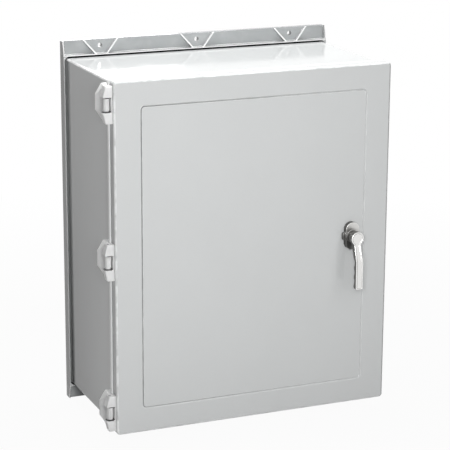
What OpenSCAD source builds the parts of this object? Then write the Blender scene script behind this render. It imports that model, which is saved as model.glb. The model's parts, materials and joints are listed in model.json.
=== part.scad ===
// Wall-mounted moulded electrical enclosure with a hinged door and a three-point latch.
// Frame: +X to the right of the door, +Y to the wall behind, +Z up.
// The origin is on the wall plane, at the centre of the mounting holes.

/* [Box] */
// Width of the box outside its walls
body_w = 510; // [400:1:700]
// Height of the box outside its walls
body_h = 618; // [520:1:800]
// Depth from the wall behind to the front of the door
depth = 288; // [200:1:400]
// Thickness of the moulded walls
wall = 4.5; // [4:0.5:7]
// Radius of the box's long outside corners
body_r = 5; // [3.5:0.5:12]
// Radius of the long corners inside the box
cavity_r = 3; // [1:0.5:8]

/* [Front lip] */
// How far the door stands out past the box's walls
overhang = 5; // [4.5:0.5:12]
// How far the lip stands out past the door at the sides
lip_out = 2.5; // [0:0.5:4]
// How far the lip stands out past the door at the top and bottom
lip_up = 0.5; // [0:0.5:4]
// Thickness of the lip from front to back
lip_t = 10; // [8:0.5:16]
// Rounding of the lip's outer edge
lip_r = 3; // [1:0.5:4]
// Step from the box's wall in to the rim that presses on the gasket
rim_step = 1.5; // [1:0.1:2]

/* [Mounting flange] */
// Overall height over both flanges
flange_h = 679; // [665:1:860]
// Thickness of the flange plates
plate_t = 10; // [9:0.5:14]
// Thickness of the floor of the groove round the box
groove_floor = 8; // [5:0.5:9]
// Width of the groove between the box and the back rim
groove_w = 3; // [2:0.5:6]
// Thickness of the back rim
rim_t = 2.5; // [2.5:0.5:5]
// Height of the back rim above the wall plane
rim_rise = 20; // [16:0.5:26]
// Thickness of the gussets
gusset_t = 3; // [2:0.5:4]
// Height of the gussets at the flange's outer edge
gusset_rise = 14; // [14:0.5:16]
// Gap between the two gussets of a pair at the back rim
gusset_gap_in = 17; // [16:1:30]
// Gap between the two gussets of a pair at the outer edge
gusset_gap_out = 62; // [40:1:90]
// Bore of the mounting holes
hole_d = 8; // [6:0.5:10]
// Distance between the outer mounting holes, across
hole_span_x = 376; // [240:1:380]
// Distance between the top and bottom mounting holes
hole_span_z = 656; // [652:1:662]

/* [Inner panel bosses] */
// Distance between the bosses, across
boss_span_x = 432; // [300:1:440]
// Distance between the bosses, up
boss_span_z = 540; // [400:1:560]
// Diameter of a boss
boss_d = 16; // [13:0.5:20]
// Height of a boss above the inside of the back
boss_rise = 22; // [18:1:40]
// Outside diameter of a threaded insert
insert_d = 8; // [6:0.5:10]
// Length of a threaded insert
insert_len = 14; // [8:1:16]
// Thread bore of a threaded insert
insert_bore = 4.8; // [3:0.1:5.5]

/* [Door] */
// Depth of the door from its front to the back of its skirt
skirt = 20; // [18:0.5:26]
// Thickness of the door's front
door_wall = 4.5; // [4:0.5:6]
// Thickness of the skirt
skirt_t = 4; // [3:0.5:4.5]
// Corner radius of the door
door_r = 6.5; // [6.5:0.5:14]
// Rounding of the door's front edge
edge_r = 4.5; // [2:0.5:6.5]
// Gap that the closed door keeps from the box
seam = 0.3; // [0.2:0.05:0.6]
// Width of the field inside the moulded line
field_w = 420; // [300:1:440]
// Height of the field inside the moulded line
field_h = 535; // [400:1:560]
// Corner radius of that field
field_r = 5; // [4:0.5:20]
// Width of the moulded line
line_w = 3.4; // [2:0.2:8]
// Depth of the moulded line
line_d = 2; // [0.6:0.1:2.5]

/* [Gasket] */
// Thickness of the door gasket
gasket_t = 6.7; // [4:0.1:8]
// Width of the door gasket
gasket_w = 10; // [8.5:0.5:14]
// Thickness of the rib that holds the gasket
gasket_rib_t = 2.5; // [1.5:0.5:4]
// Height of the rib that holds the gasket
gasket_rib = 4.5; // [2:0.5:5]

/* [Hinges] */
// Distance between the top and bottom hinges
hinge_span = 548; // [420:1:550]
// Distance from the door's side out to the pin
pin_out = 9.5; // [9:0.5:12]
// Distance from the door's front back to the pin
pin_back = 12; // [11:0.5:14]
// Diameter of the pins
pin_d = 5; // [3:0.5:6]
// Running clearance of the door's ears on the pin
pin_play = 0.05; // [0.02:0.01:0.1]
// Height of a door leaf
leaf_h = 64.5; // [60:0.5:90]
// Height of a body leaf
body_leaf_h = 62; // [56:1:80]
// How far both leaves stand out from the door's side
leaf_out = 17; // [16.5:0.5:22]
// Wall outside the pin at a door leaf's ends
ear_wall = 0.5; // [0.5:0.25:3]
// How far a body leaf's ends stand out
body_leaf_end = 6; // [5:0.5:12]
// Distance from the door's front to the front of the door leaf
leaf_front = 4.5; // [3:0.5:5]
// Distance from the door's front to the front of the body leaf
body_leaf_front = 25; // [24.5:0.5:28]
// Thickness of the body leaf from front to back
body_leaf_t = 22; // [18:1:40]
// How far back the sloping outer face of the leaf on the box goes
leaf_slope_t = 18; // [4:1:20]
// How far out the sloping outer face of the leaf on the box goes
leaf_slope_out = 10; // [2:0.5:12]
// Height of the knuckle
knuckle_h = 22; // [16:0.2:30]
// Radius of the knuckle
knuckle_r = 5.5; // [4.5:0.1:6.5]
// Gap round the knuckle
knuckle_gap = 1.5; // [0.3:0.05:2]
// Diameter of the hinge screws
hinge_screw_d = 4; // [3:0.5:5]
// Distance between the two screws of a door leaf
door_screw_span = 52; // [44:1:54]
// Distance between the two screws of a body leaf
body_screw_span = 40; // [30:1:44]

/* [Handle] */
// Distance from the door's side to the handle's axis
handle_in = 74.5; // [68:0.5:90]
// Height of the handle's axis above the middle
handle_z = 5.5; // [-20:0.5:20]
// Width of the handle's base
base_w = 26; // [25:0.5:34]
// Height of the handle's base
base_h = 50; // [50:1:70]
// Thickness of the handle's base
base_t = 9; // [7:0.5:14]
// Width over the base's side lugs
lug_w = 35; // [34.5:0.5:44]
// Height of the side lugs
lug_h = 13; // [8:0.5:18]
// Thickness of the side lugs
lug_t = 6; // [3:0.5:7]
// Thickness of the gasket under the base
base_gasket_t = 1; // [0.5:0.1:2]
// Radius of the base's neck
neck_r = 11; // [9.5:0.5:12]
// Length of the base's neck
neck_len = 9; // [4:0.5:14]
// Distance between the base's two fixing screws
base_screw_span = 36; // [32:0.5:36]
// Diameter of the base's fixing screws
base_screw_d = 4; // [3:0.5:5]
// Radius of the lever's hub
hub_r = 12; // [10:0.5:14]
// Thickness of the lever's hub
hub_t = 11.6; // [9:0.2:16]
// Length of the lever below its axis
lever_len = 91.5; // [86:0.5:130]
// Width of the lever's grip
lever_w = 13.5; // [11:0.5:18]
// Thickness of the lever's grip
lever_t = 10; // [9:0.5:14]
// How far the lever steps out from the door past its hub
lever_step = 10; // [4:0.5:16]
// Corner radius of the lever's tip
tip_r = 2.5; // [2:0.5:5]
// Depth of the shallow recess in the lever's face
recess_d = 0.8; // [0.4:0.1:1.5]
// Width of the raised border round that recess
border = 2.4; // [1.5:0.1:2.8]
// Radius of the finger scallops behind the grip
scallop_r = 11; // [9:0.5:14]
// Depth of the finger scallops
scallop_d = 2.2; // [0.5:0.1:3]
// Distance from the lever's tip to the first scallop
scallop_start = 13.5; // [10:0.5:20]
// Spacing of the finger scallops
scallop_pitch = 17; // [13:0.5:19]

/* [Spindle] */
// Diameter of the spindle
spindle_d = 12; // [9:0.5:12]
// Running clearance round the spindle
spindle_play = 0.05; // [0.02:0.01:0.1]
// Side of the square that drives the cam
square = 8; // [6:0.5:8]
// Thickness of the seal round the spindle
seal_t = 2.4; // [1.6:0.1:2.6]

/* [Latch] */
// Distance from the door's front to the front of the cam
cam_back = 22.4; // [22.3:0.1:28]
// Thickness of the cam
cam_t = 3; // [2:0.5:4]
// Distance from the spindle to each crank pin
crank_r = 20; // [20:0.5:24]
// Diameter of the crank pins
crank_pin_d = 6; // [4:0.5:6]
// Reach of the cam's arm from the spindle
arm_len = 46; // [42:1:50]
// Width of the cam's arm
arm_w = 13; // [8:0.5:16]
// Gap between the cam and the rods
cam_gap = 0.4; // [0.3:0.1:0.8]
// Width of the rods
rod_w = 14; // [12:0.5:16]
// Thickness of the rods
rod_t = 4; // [3:0.5:5]
// Play of the crank pins in the rods' slots
slot_play = 0.8; // [0.7:0.1:1.2]
// Metal left round the slots
slot_edge = 3; // [2:0.5:3.5]
// Radius of the rollers
roller_r = 5.4; // [5:0.1:5.4]
// Width of the rollers
roller_w = 8; // [6:0.5:9]
// Diameter of the rollers' axles
axle_d = 5; // [3:0.5:5]
// Running clearance of the rollers on their axles
axle_play = 0.05; // [0.02:0.01:0.1]
// Running clearance of the rods in their guides
guide_play = 0.3; // [0.2:0.05:0.6]
// Distance from the handle's axis to the rod guides
guide_z = 190; // [120:1:200]
// Thickness of a guide along the rod
guide_t = 14; // [10:1:24]
// Metal left round the rod in a guide
guide_edge = 4; // [3:0.5:6]

/* [Keepers] */
// Thickness of the keepers' sheet
keeper_t = 3; // [2:0.5:3]
// Width of the keepers
keeper_w = 30; // [24:1:40]
// Drop of the upper and lower keepers' tabs from the box's wall
keeper_drop = 22; // [20:0.5:26]
// Reach of the centre keeper's tab from the box's wall
keeper_reach = 24; // [21:0.5:26]
// Length of the keepers' feet from front to back
keeper_foot = 27; // [24:1:34]
// Thickness of the moulded pads under the keepers
pad_t = 5; // [4:0.5:7]
// Gap between a keeper's tab and what goes behind it
keeper_gap = 0.6; // [0.5:0.1:1]
// Gap between a roller at its end of travel and its keeper's foot
roller_gap = 1; // [0.5:0.1:4]
// Diameter of the guide and keeper screws
small_screw_d = 4; // [3:0.5:4]

/* [Hidden] */
door_w = body_w + 2 * overhang;
door_h = body_h + 2 * overhang;
front_y = -depth;
cavity_w = body_w - 2 * wall;
cavity_h = body_h - 2 * wall;
lip_front = skirt + seam;
lip_back = lip_front + lip_t;
lip_w = door_w + 2 * lip_out;
lip_h = door_h + 2 * lip_up;
lip_root = wall / 2;
lip_corner_r = overhang + max(lip_out, lip_up) + lip_root + 0.25;
flange_w = body_w + 2 * (groove_w + rim_t);
flange_corner_r = 3;
skirt_in_r = door_r - skirt_t;
line_draft = 0.4;
gasket_back = door_wall + gasket_t;
cut = 1;

// Hinge values
hinge_zs = [hinge_span / 2, 0, -hinge_span / 2];
pin_x = -door_w / 2 - pin_out;
door_side = -door_w / 2;
window_h = knuckle_h + 2 * knuckle_gap;
strip_t = pin_out - knuckle_r - knuckle_gap;
leaf_gap = 0.3;
leaf_in = lip_out + leaf_gap;
arm_back = body_leaf_front + body_leaf_t / 2;
door_leaf_end = pin_out + pin_d / 2 + pin_play + ear_wall;
countersink = 2;
screw_head_k = 1.9;
body_screw_back = 0.62;
screw_bite = 5;

// Handle values
handle_x = door_w / 2 - handle_in;
base_front = base_gasket_t + base_t;
neck_front = base_front + neck_len;
hub_gap = 0.4;
hub_back = neck_front + hub_gap;
hub_front = hub_back + hub_t;
hub_floor = 3;
waist_k = 0.94;
neck_k = 1.3;
step_end = 0.45 * lever_len;
scallops = 3;
door_hole_r = spindle_d / 2 + 2;
seal_gap = 0.1;
seal_room = seal_t + seal_gap;
base_screw_bite = 6;
base_screw_head = 3;

// Latch values
travel = crank_r * sqrt(2);
crank_side = crank_r / sqrt(2);
rod_front = cam_back + cam_t + cam_gap;
rod_back = rod_front + rod_t;
rod_mid = (rod_front + rod_back) / 2;
slot_in = crank_side - crank_pin_d / 2 - slot_play;
slot_out = crank_r + crank_pin_d / 2 + slot_play;
slot_h = crank_pin_d + 2 * slot_play;
eye_in = slot_in - slot_edge;
eye_out = slot_out + slot_edge;
eye_h = slot_h + 2 * slot_edge;
rod_x = (eye_in + eye_out) / 2;
clip_t = 1;
clip_r = crank_pin_d / 2 + 2.5;
cam_hub_r = square * 0.95 + 3;
lobe_r = crank_pin_d / 2 + 4;
lobe_w = 2 * lobe_r - 2;
cam_screw_d = 5;
cam_head_r = eye_in - 1;
washer_t = 1;
tab_back = cam_back - keeper_gap;
tab_front = tab_back - keeper_t;
lug_len = 5;
lug_r = roller_r - 0.6;
roller_side_gap = 0.3;
axle_head_t = 1.5;
axle_head_r = axle_d / 2 + 1.5;
pad_w = keeper_w + 6;
foot_back = tab_front + keeper_foot;
keeper_screw_d = foot_back - 6;
keeper_screw_span = 16;
small_screw_bite = 6;
cam_screw_hole = 8;
small_head_t = 2.4;
small_head_r = small_screw_d * 0.95;
guide_pad_t = 5;
guide_foot_t = 4;
guide_screw_out = 8;
guide_foot_end = 6;
guide_screw_span = rod_w + 2 * (guide_edge + guide_screw_out);
guide_foot_w = guide_screw_span + 2 * guide_foot_end;
guide_back = rod_back + guide_play + guide_edge;

// Shared shapes

// Flat outline with round corners, in the door's plane
module round_rect(w, h, r) {
    square([w, h - 2 * r], center = true);
    square([w - 2 * r, h], center = true);
    for (sx = [-1, 1], sz = [-1, 1])
        translate([sx * (w / 2 - r), sz * (h / 2 - r)])
            circle(r, $fn = 48);
}

// Outline with the hollow of another outline taken out
module round_ring(w, h, r, in_w, in_h, in_r) {
    difference() {
        round_rect(w, h, r);
        round_rect(in_w, in_h, in_r);
    }
}

// Extrusion of a flat outline from one Y to another
module slab(y0, y1) {
    translate([0, y1, 0])
        rotate([90, 0, 0])
            linear_extrude(y1 - y0)
                children();
}

// The same, measured back from the front of the door
module behind_front(d0, d1) {
    slab(front_y + d0, front_y + d1)
        children();
}

// Profile carried round a rectangle with round corners; x is out from the corner's centre, y is to the back
module around(w, h, r) {
    cx = w / 2 - r;
    cz = h / 2 - r;
    for (s = [0, 1]) {
        mirror([s, 0, 0])
            translate([cx, 0, -cz])
                linear_extrude(2 * cz)
                    children();
        mirror([0, 0, s])
            translate([-cx, 0, cz])
                rotate([0, 90, 0])
                    mirror([1, 0, 0])
                        linear_extrude(2 * cx)
                            children();
        for (t = [0, 1])
            mirror([s, 0, 0])
                mirror([0, 0, t])
                    translate([cx, 0, cz])
                        rotate([90, 0, 0])
                            mirror([0, 0, 1])
                                rotate_extrude(angle = 90, $fn = 64)
                                    children();
    }
}

// Round bar along X, from x0 to x1
module bar_x(x0, x1, r0, r1 = undef) {
    translate([x0, 0, 0])
        rotate([0, 90, 0])
            cylinder(h = x1 - x0, r1 = r0, r2 = is_undef(r1) ? r0 : r1, $fn = 48);
}

// Round bar along Y, from y0 to y1
module bar_y(y0, y1, r0, r1 = undef) {
    translate([0, y0, 0])
        rotate([-90, 0, 0])
            cylinder(h = y1 - y0, r1 = r0, r2 = is_undef(r1) ? r0 : r1, $fn = 48);
}

// Square bar along Y
module square_y(y0, y1, side) {
    translate([-side / 2, y0, -side / 2])
        cube([side, y1 - y0, side]);
}

// Places its children on the handle's axis, at the front of the door
module at_handle() {
    translate([handle_x, front_y, handle_z])
        children();
}

// Places its children for the upper half of the latch, or turned over for the lower half
module latch_half(side) {
    at_handle()
        rotate([0, side > 0 ? 0 : 180, 0])
            children();
}

// Height of a latch half, from the handle's axis to the inside of the box
function half_height(side) = cavity_h / 2 - side * handle_z;

// Places its children at a hinge, on the door's side and at its front
module at_hinge(i) {
    translate([door_side, front_y, hinge_zs[i]])
        children();
}

// Box with its mounting flange

module gusset(x0, x1) {
    z0 = body_h / 2 + groove_w + rim_t / 2;
    z1 = flange_h / 2;
    run = norm([x1 - x0, z1 - z0]) + gusset_t;
    translate([x0, 0, z0])
        rotate([0, atan2(x1 - x0, z1 - z0), 0])
            rotate([0, -90, 0])
                translate([0, 0, -gusset_t / 2])
                    linear_extrude(gusset_t)
                        polygon([[0, 0], [0, -rim_rise], [run, -gusset_rise], [run, 0]]);
}

module flange_half() {
    end_x = flange_w / 2 - gusset_t / 2;
    translate([-flange_w / 2, -plate_t, body_h / 2 + groove_w])
        cube([flange_w, plate_t, flange_h / 2 - body_h / 2 - groove_w]);
    for (s = [-1, 1]) {
        gusset(s * end_x, s * end_x);
        for (x = [-1, 0, 1])
            gusset(x * hole_span_x / 2 + s * (gusset_gap_in + gusset_t) / 2,
                x * hole_span_x / 2 + s * (gusset_gap_out + gusset_t) / 2);
    }
}

// Back rim, groove floor, plates and gussets, trimmed to one outline
module flange() {
    rim_h = body_h + 2 * (groove_w + rim_t);
    intersection() {
        union() {
            slab(-groove_floor, 0)
                round_ring(flange_w, rim_h, flange_corner_r, cavity_w, cavity_h, cavity_r);
            slab(-rim_rise, 0)
                round_ring(flange_w, rim_h, flange_corner_r,
                    body_w + 2 * groove_w, body_h + 2 * groove_w, body_r + groove_w);
            flange_half();
            mirror([0, 0, 1])
                flange_half();
            for (sx = [-1, 1], sz = [-1, 1])
                translate([sx * (flange_w - rim_t) / 2, -rim_rise / 2, sz * (rim_h - rim_t) / 2])
                    cube([rim_t, rim_rise, 2 * rim_t], center = true);
        }
        slab(-rim_rise, 0)
            round_rect(flange_w, flange_h, flange_corner_r);
    }
}

// Lip's profile, with its outer edge rounded front and back
module lip_profile() {
    in_u = lip_corner_r - overhang - max(lip_out, lip_up) - lip_root;
    difference() {
        translate([in_u, lip_front])
            square([lip_corner_r - in_u, lip_t]);
        for (v = [0, 1])
            translate([lip_corner_r - lip_r, v == 0 ? lip_front + lip_r : lip_back - lip_r])
                difference() {
                    translate([0, v == 0 ? -lip_r - cut : 0])
                        square([lip_r + cut, lip_r + cut]);
                    circle(lip_r, $fn = 48);
                }
    }
}

module keeper_pads() {
    for (side = [-1, 1])
        latch_half(side)
            translate([-rod_x - pad_w / 2, tab_back, half_height(side) - pad_t])
                cube([pad_w, foot_back - tab_back, pad_t + wall / 2]);
    translate([cavity_w / 2 - pad_t, front_y + tab_back, handle_z - pad_w / 2])
        cube([pad_t + wall / 2, foot_back - tab_back, pad_w]);
}

module enclosure_body() {
    color("gainsboro")
        difference() {
            union() {
                slab(front_y + lip_back - lip_t / 2, 0)
                    round_ring(body_w, body_h, body_r, cavity_w, cavity_h, cavity_r);
                behind_front(gasket_back + seam, lip_back)
                    round_ring(body_w - 2 * rim_step, body_h - 2 * rim_step, body_r - rim_step,
                        cavity_w, cavity_h, cavity_r);
                translate([0, front_y, 0])
                    around(lip_w, lip_h, lip_corner_r)
                        lip_profile();
                slab(-wall, 0)
                    round_rect(body_w, body_h, body_r);
                flange();
                for (sx = [-1, 1], sz = [-1, 1])
                    translate([sx * boss_span_x / 2, 0, sz * boss_span_z / 2])
                        bar_y(-wall - boss_rise, -wall / 2, boss_d / 2);
                keeper_pads();
            }
            for (sx = [-1, 1], sz = [-1, 1])
                translate([sx * boss_span_x / 2, 0, sz * boss_span_z / 2])
                    bar_y(-wall - boss_rise - cut, -wall - boss_rise + insert_len, insert_d / 2);
            for (x = [-1, 0, 1], sz = [-1, 1])
                translate([x * hole_span_x / 2, 0, sz * hole_span_z / 2])
                    bar_y(-plate_t - cut, cut, hole_d / 2);
            for (i = [0:2], s = [-1, 1])
                at_hinge(i)
                    body_screw_place(s)
                        bar_x(overhang - cut, overhang + wall + cut, hinge_screw_d / 2);
            keeper_screw_places()
                bar_x(-cut, small_screw_bite, small_screw_d / 2);
        }
}

module keeper_screw_places() {
    for (side = [-1, 1], s = [-1, 1])
        latch_half(side)
            translate([-rod_x + s * keeper_screw_span / 2, keeper_screw_d, half_height(side) - pad_t])
                rotate([0, -90, 0])
                    children();
    for (s = [-1, 1])
        translate([cavity_w / 2 - pad_t, front_y + keeper_screw_d, handle_z + s * keeper_screw_span / 2])
            children();
}

module panel_inserts() {
    color("goldenrod")
        for (sx = [-1, 1], sz = [-1, 1])
            translate([sx * boss_span_x / 2, -wall - boss_rise, sz * boss_span_z / 2])
                difference() {
                    bar_y(0, insert_len, insert_d / 2);
                    bar_y(-cut, insert_len + cut, insert_bore / 2);
                }
}

// Door

module skirt_profile() {
    in_u = skirt_in_r - cut;
    difference() {
        translate([in_u, 0])
            square([door_r - in_u, skirt]);
        translate([in_u - cut, door_wall])
            square([skirt_in_r - in_u + cut, skirt]);
        translate([door_r - edge_r, edge_r])
            difference() {
                translate([0, -edge_r - cut])
                    square([edge_r + cut, edge_r + cut]);
                circle(edge_r, $fn = 64);
            }
    }
}

module line_profile() {
    edge = field_r + line_w;
    polygon([[field_r, -cut], [edge, -cut], [edge, 0], [field_r + line_draft, line_d], [field_r, 0]]);
}

module door() {
    skirt_w = door_w - 2 * skirt_t;
    skirt_h = door_h - 2 * skirt_t;
    inner_w = skirt_w - 2 * gasket_w;
    inner_h = skirt_h - 2 * gasket_w;
    inner_r = max(skirt_in_r - gasket_w, 1);
    rib_in_r = max(inner_r - gasket_rib_t, 1);
    color("lightgray")
        difference() {
            union() {
                translate([0, front_y, 0])
                    around(door_w, door_h, door_r)
                        skirt_profile();
                behind_front(0, door_wall)
                    round_rect(skirt_w - cut, skirt_h - cut, skirt_in_r - cut / 2);
                behind_front(door_wall, door_wall + gasket_rib)
                    round_ring(inner_w, inner_h, inner_r,
                        inner_w - 2 * gasket_rib_t, inner_h - 2 * gasket_rib_t, rib_in_r);
                for (side = [-1, 1])
                    latch_half(side)
                        translate([-rod_x - guide_foot_w / 2, door_wall, guide_z - guide_t / 2])
                            cube([guide_foot_w, guide_pad_t, guide_t]);
            }
            translate([0, front_y, 0])
                around(field_w, field_h, field_r)
                    line_profile();
            at_handle() {
                bar_y(-cut, door_wall + cut, door_hole_r);
                base_screw_places()
                    bar_y(-cut, door_wall + cut, base_screw_d / 2);
            }
            guide_screw_places()
                bar_y(-small_screw_bite, cut, small_screw_d / 2);
            for (i = [0:2], s = [-1, 1])
                at_hinge(i)
                    door_screw_place(s) {
                        bar_x(-cut, skirt_t + cut, hinge_screw_d / 2);
                        bar_x(skirt_t - countersink, skirt_t, hinge_screw_d / 2, hinge_screw_d / 2 + countersink);
                    }
        }
}

module door_gasket() {
    skirt_w = door_w - 2 * skirt_t;
    skirt_h = door_h - 2 * skirt_t;
    color("dimgray")
        behind_front(door_wall, gasket_back)
            round_ring(skirt_w, skirt_h, skirt_in_r,
                skirt_w - 2 * gasket_w, skirt_h - 2 * gasket_w, max(skirt_in_r - gasket_w, 1));
}

// Hinges

module door_screw_place(s) {
    translate([0, (leaf_front + skirt) / 2, s * door_screw_span / 2])
        children();
}

module body_screw_place(s) {
    translate([0, body_leaf_front + body_leaf_t * body_screw_back, s * body_screw_span / 2])
        children();
}

// Outline of a leaf seen from the front: full width behind the knuckle, narrower at its ends
module leaf_outline(height, out, end_out, inner) {
    mid = window_h / 2 + 1;
    polygon([[inner, -height / 2], [-end_out, -height / 2], [-out, -mid],
        [-out, mid], [-end_out, height / 2], [inner, height / 2]]);
}

module hinge_door_leaf(i) {
    color("whitesmoke")
        at_hinge(i)
            difference() {
                slab(leaf_front, skirt)
                    leaf_outline(leaf_h, leaf_out, door_leaf_end, 0);
                translate([-leaf_out - cut, leaf_front - cut, -window_h / 2])
                    cube([leaf_out + cut - strip_t, skirt, window_h]);
                translate([-pin_out, pin_back, -leaf_h / 2 - cut])
                    cylinder(h = leaf_h + 2 * cut, r = pin_d / 2 + pin_play, $fn = 48);
                for (s = [-1, 1])
                    door_screw_place(s)
                        bar_x(-screw_bite, cut, hinge_screw_d / 2);
            }
}

// Section of the leaf on the box from above: its outer face slopes back from the front
module sloped_section(front, back) {
    step = cut * leaf_slope_out / leaf_slope_t;
    front_out = leaf_out - leaf_slope_out;
    polygon([[cut, front - cut], [step - front_out, front - cut], [-leaf_out - step, front + leaf_slope_t + cut],
        [-leaf_out - step, back + cut], [cut, back + cut]]);
}

module hinge_body_leaf(i) {
    back = body_leaf_front + body_leaf_t;
    color("whitesmoke")
        at_hinge(i)
            difference() {
                union() {
                    intersection() {
                        slab(body_leaf_front, back)
                            leaf_outline(body_leaf_h, leaf_out, body_leaf_end, -leaf_in);
                        translate([0, 0, -body_leaf_h / 2 - cut])
                            linear_extrude(body_leaf_h + 2 * cut)
                                sloped_section(body_leaf_front, back);
                    }
                    slab(lip_back + leaf_gap, back)
                        translate([-leaf_in - cut, -body_leaf_h / 2])
                            square([overhang + leaf_in + cut, body_leaf_h]);
                    translate([-pin_out, pin_back, -knuckle_h / 2])
                        cylinder(h = knuckle_h, r = knuckle_r, $fn = 48);
                    translate([-pin_out, pin_back, -knuckle_h / 2])
                        cube([knuckle_r, arm_back - pin_back, knuckle_h]);
                }
                translate([-pin_out, pin_back, -knuckle_h / 2 - cut])
                    cylinder(h = knuckle_h + 2 * cut, r = pin_d / 2, $fn = 48);
                for (s = [-1, 1])
                    body_screw_place(s)
                        bar_x(-screw_bite, overhang + cut, hinge_screw_d / 2);
            }
}

module hinge_pin(i) {
    color("silver")
        at_hinge(i)
            translate([-pin_out, pin_back, -leaf_h / 2])
                cylinder(h = leaf_h, r = pin_d / 2, $fn = 48);
}

module hinge_body_screws() {
    head_r = hinge_screw_d / 2 * screw_head_k;
    color("silver")
        for (i = [0:2], s = [-1, 1])
            at_hinge(i)
                body_screw_place(s) {
                    bar_x(-screw_bite, overhang + wall, hinge_screw_d / 2);
                    bar_x(overhang + wall, overhang + wall + small_head_t, head_r, head_r * 0.8);
                }
}

module hinge_door_screws() {
    color("silver")
        for (i = [0:2], s = [-1, 1])
            at_hinge(i)
                door_screw_place(s) {
                    bar_x(-screw_bite, skirt_t, hinge_screw_d / 2);
                    bar_x(skirt_t - countersink, skirt_t, hinge_screw_d / 2, hinge_screw_d / 2 + countersink);
                }
}

// Handle

module base_screw_places() {
    for (s = [-1, 1])
        translate([0, 0, s * base_screw_span / 2])
            children();
}

module base_outline() {
    round_rect(base_w, base_h, base_w / 2 - 0.5);
}

module handle_base() {
    color("silver")
        at_handle()
            difference() {
                union() {
                    slab(-base_front, -base_gasket_t)
                        base_outline();
                    slab(-base_gasket_t - lug_t, -base_gasket_t)
                        round_rect(lug_w, lug_h, 2);
                    bar_y(-neck_front, -base_front + cut, neck_r);
                }
                bar_y(-neck_front - cut, cut, spindle_d / 2 + spindle_play);
                bar_y(-base_gasket_t - seal_room, cut, spindle_d / 2 + seal_room);
                base_screw_places()
                    bar_y(-base_gasket_t - base_screw_bite, cut, base_screw_d / 2);
            }
}

module handle_base_gasket() {
    color("black")
        at_handle()
            difference() {
                slab(-base_gasket_t, 0)
                    base_outline();
                bar_y(-base_gasket_t - cut, cut, door_hole_r);
                base_screw_places()
                    bar_y(-base_gasket_t - cut, cut, base_screw_d / 2);
            }
}

module handle_base_screws() {
    head_r = base_screw_d / 2 * screw_head_k;
    color("silver")
        at_handle()
            base_screw_places() {
                bar_y(-base_gasket_t - base_screw_bite, door_wall, base_screw_d / 2);
                bar_y(door_wall, door_wall + base_screw_head, head_r, head_r * 0.8);
            }
}

// Lever's front line from the side: hub level, a step out, then the grip; depth is measured in from the face
function lever_line(depth_in) = [[hub_r + cut, -hub_front + depth_in], [-hub_r, -hub_front + depth_in],
    [-step_end, -hub_front - lever_step + depth_in], [-lever_len - cut, -hub_front - lever_step + depth_in]];

function backwards(points) = [for (i = [len(points) - 1:-1:0]) points[i]];

module from_the_side() {
    translate([-hub_r - cut, 0, 0])
        rotate([0, -90, 180])
            mirror([0, 1, 0])
                linear_extrude(2 * hub_r + 2 * cut)
                    children();
}

// Lever seen from the front: round hub, a slight waist, a grip with round corners
module lever_front(inset) {
    half = lever_w / 2 - inset;
    waist = lever_w / 2 * waist_k - inset;
    tip = -lever_len + inset;
    r = tip_r - inset / 2;
    circle(hub_r - inset, $fn = 64);
    polygon([[-half, 0], [-waist, -hub_r * neck_k], [-half, -step_end], [-half, tip + r],
        [half, tip + r], [half, -step_end], [waist, -hub_r * neck_k], [half, 0]]);
    translate([-half + r, tip])
        square([2 * (half - r), 2 * r]);
    for (s = [-1, 1])
        translate([s * (half - r), tip + r])
            circle(r, $fn = 48);
}

module handle_lever() {
    far = -hub_front - lever_step - cut;
    scallop_y = -hub_front - lever_step + lever_t + scallop_r - scallop_d;
    grip_back = [[-lever_len - cut, -hub_front - lever_step + lever_t], [-step_end, -hub_front - lever_step + lever_t],
        [-hub_r, -hub_back], [hub_r + cut, -hub_back]];
    color("silver")
        at_handle()
            difference() {
                intersection() {
                    slab(far, -hub_back)
                        lever_front(0);
                    from_the_side()
                        polygon(concat(lever_line(0), grip_back));
                }
                intersection() {
                    slab(far, -hub_back)
                        lever_front(border);
                    from_the_side()
                        polygon(concat(lever_line(-cut), backwards(lever_line(recess_d))));
                }
                bar_y(-hub_front + hub_floor, -hub_back + cut, spindle_d / 2);
                for (i = [0:scallops - 1])
                    translate([0, scallop_y, -lever_len + scallop_start + i * scallop_pitch])
                        bar_x(-lever_w, lever_w, scallop_r);
            }
}

module handle_spindle() {
    color("gray")
        at_handle()
            difference() {
                union() {
                    bar_y(-hub_front + hub_floor, cam_back, spindle_d / 2);
                    square_y(cam_back - cut, cam_back + cam_t, square);
                }
                bar_y(cam_back - cam_screw_hole, cam_back + cam_t + cut, cam_screw_d / 2);
            }
}

module spindle_seal() {
    color("black")
        at_handle()
            translate([0, -base_gasket_t - seal_t / 2, 0])
                rotate([90, 0, 0])
                    rotate_extrude($fn = 64)
                        translate([spindle_d / 2 + seal_gap + seal_t / 2, 0])
                            circle(seal_t / 2, $fn = 32);
}

// Latch

// Crank pins at rest: lower left drives the upper rod, upper right drives the lower rod
module crank_places() {
    for (s = [-1, 1])
        translate([s * crank_side, 0, s * crank_side])
            children();
}

module cam_outline() {
    arm_end = arm_len - arm_w / 2;
    circle(cam_hub_r, $fn = 48);
    for (s = [-1, 1]) {
        rotate(45)
            translate([s > 0 ? 0 : -crank_r, -lobe_w / 2])
                square([crank_r, lobe_w]);
        translate([s * crank_side, s * crank_side])
            circle(lobe_r, $fn = 48);
    }
    translate([-arm_w / 2, 0])
        square([arm_w, arm_end]);
    translate([0, arm_end])
        circle(arm_w / 2, $fn = 48);
}

module latch_cam() {
    color("gray")
        at_handle()
            difference() {
                slab(cam_back, cam_back + cam_t)
                    cam_outline();
                square_y(cam_back - cut, cam_back + cam_t + cut, square);
                crank_places()
                    bar_y(cam_back - cut, cam_back + cam_t + cut, crank_pin_d / 2);
            }
}

module cam_pins() {
    color("silver")
        at_handle()
            crank_places()
                bar_y(cam_back, rod_back + cam_gap + clip_t + 1, crank_pin_d / 2);
}

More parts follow.
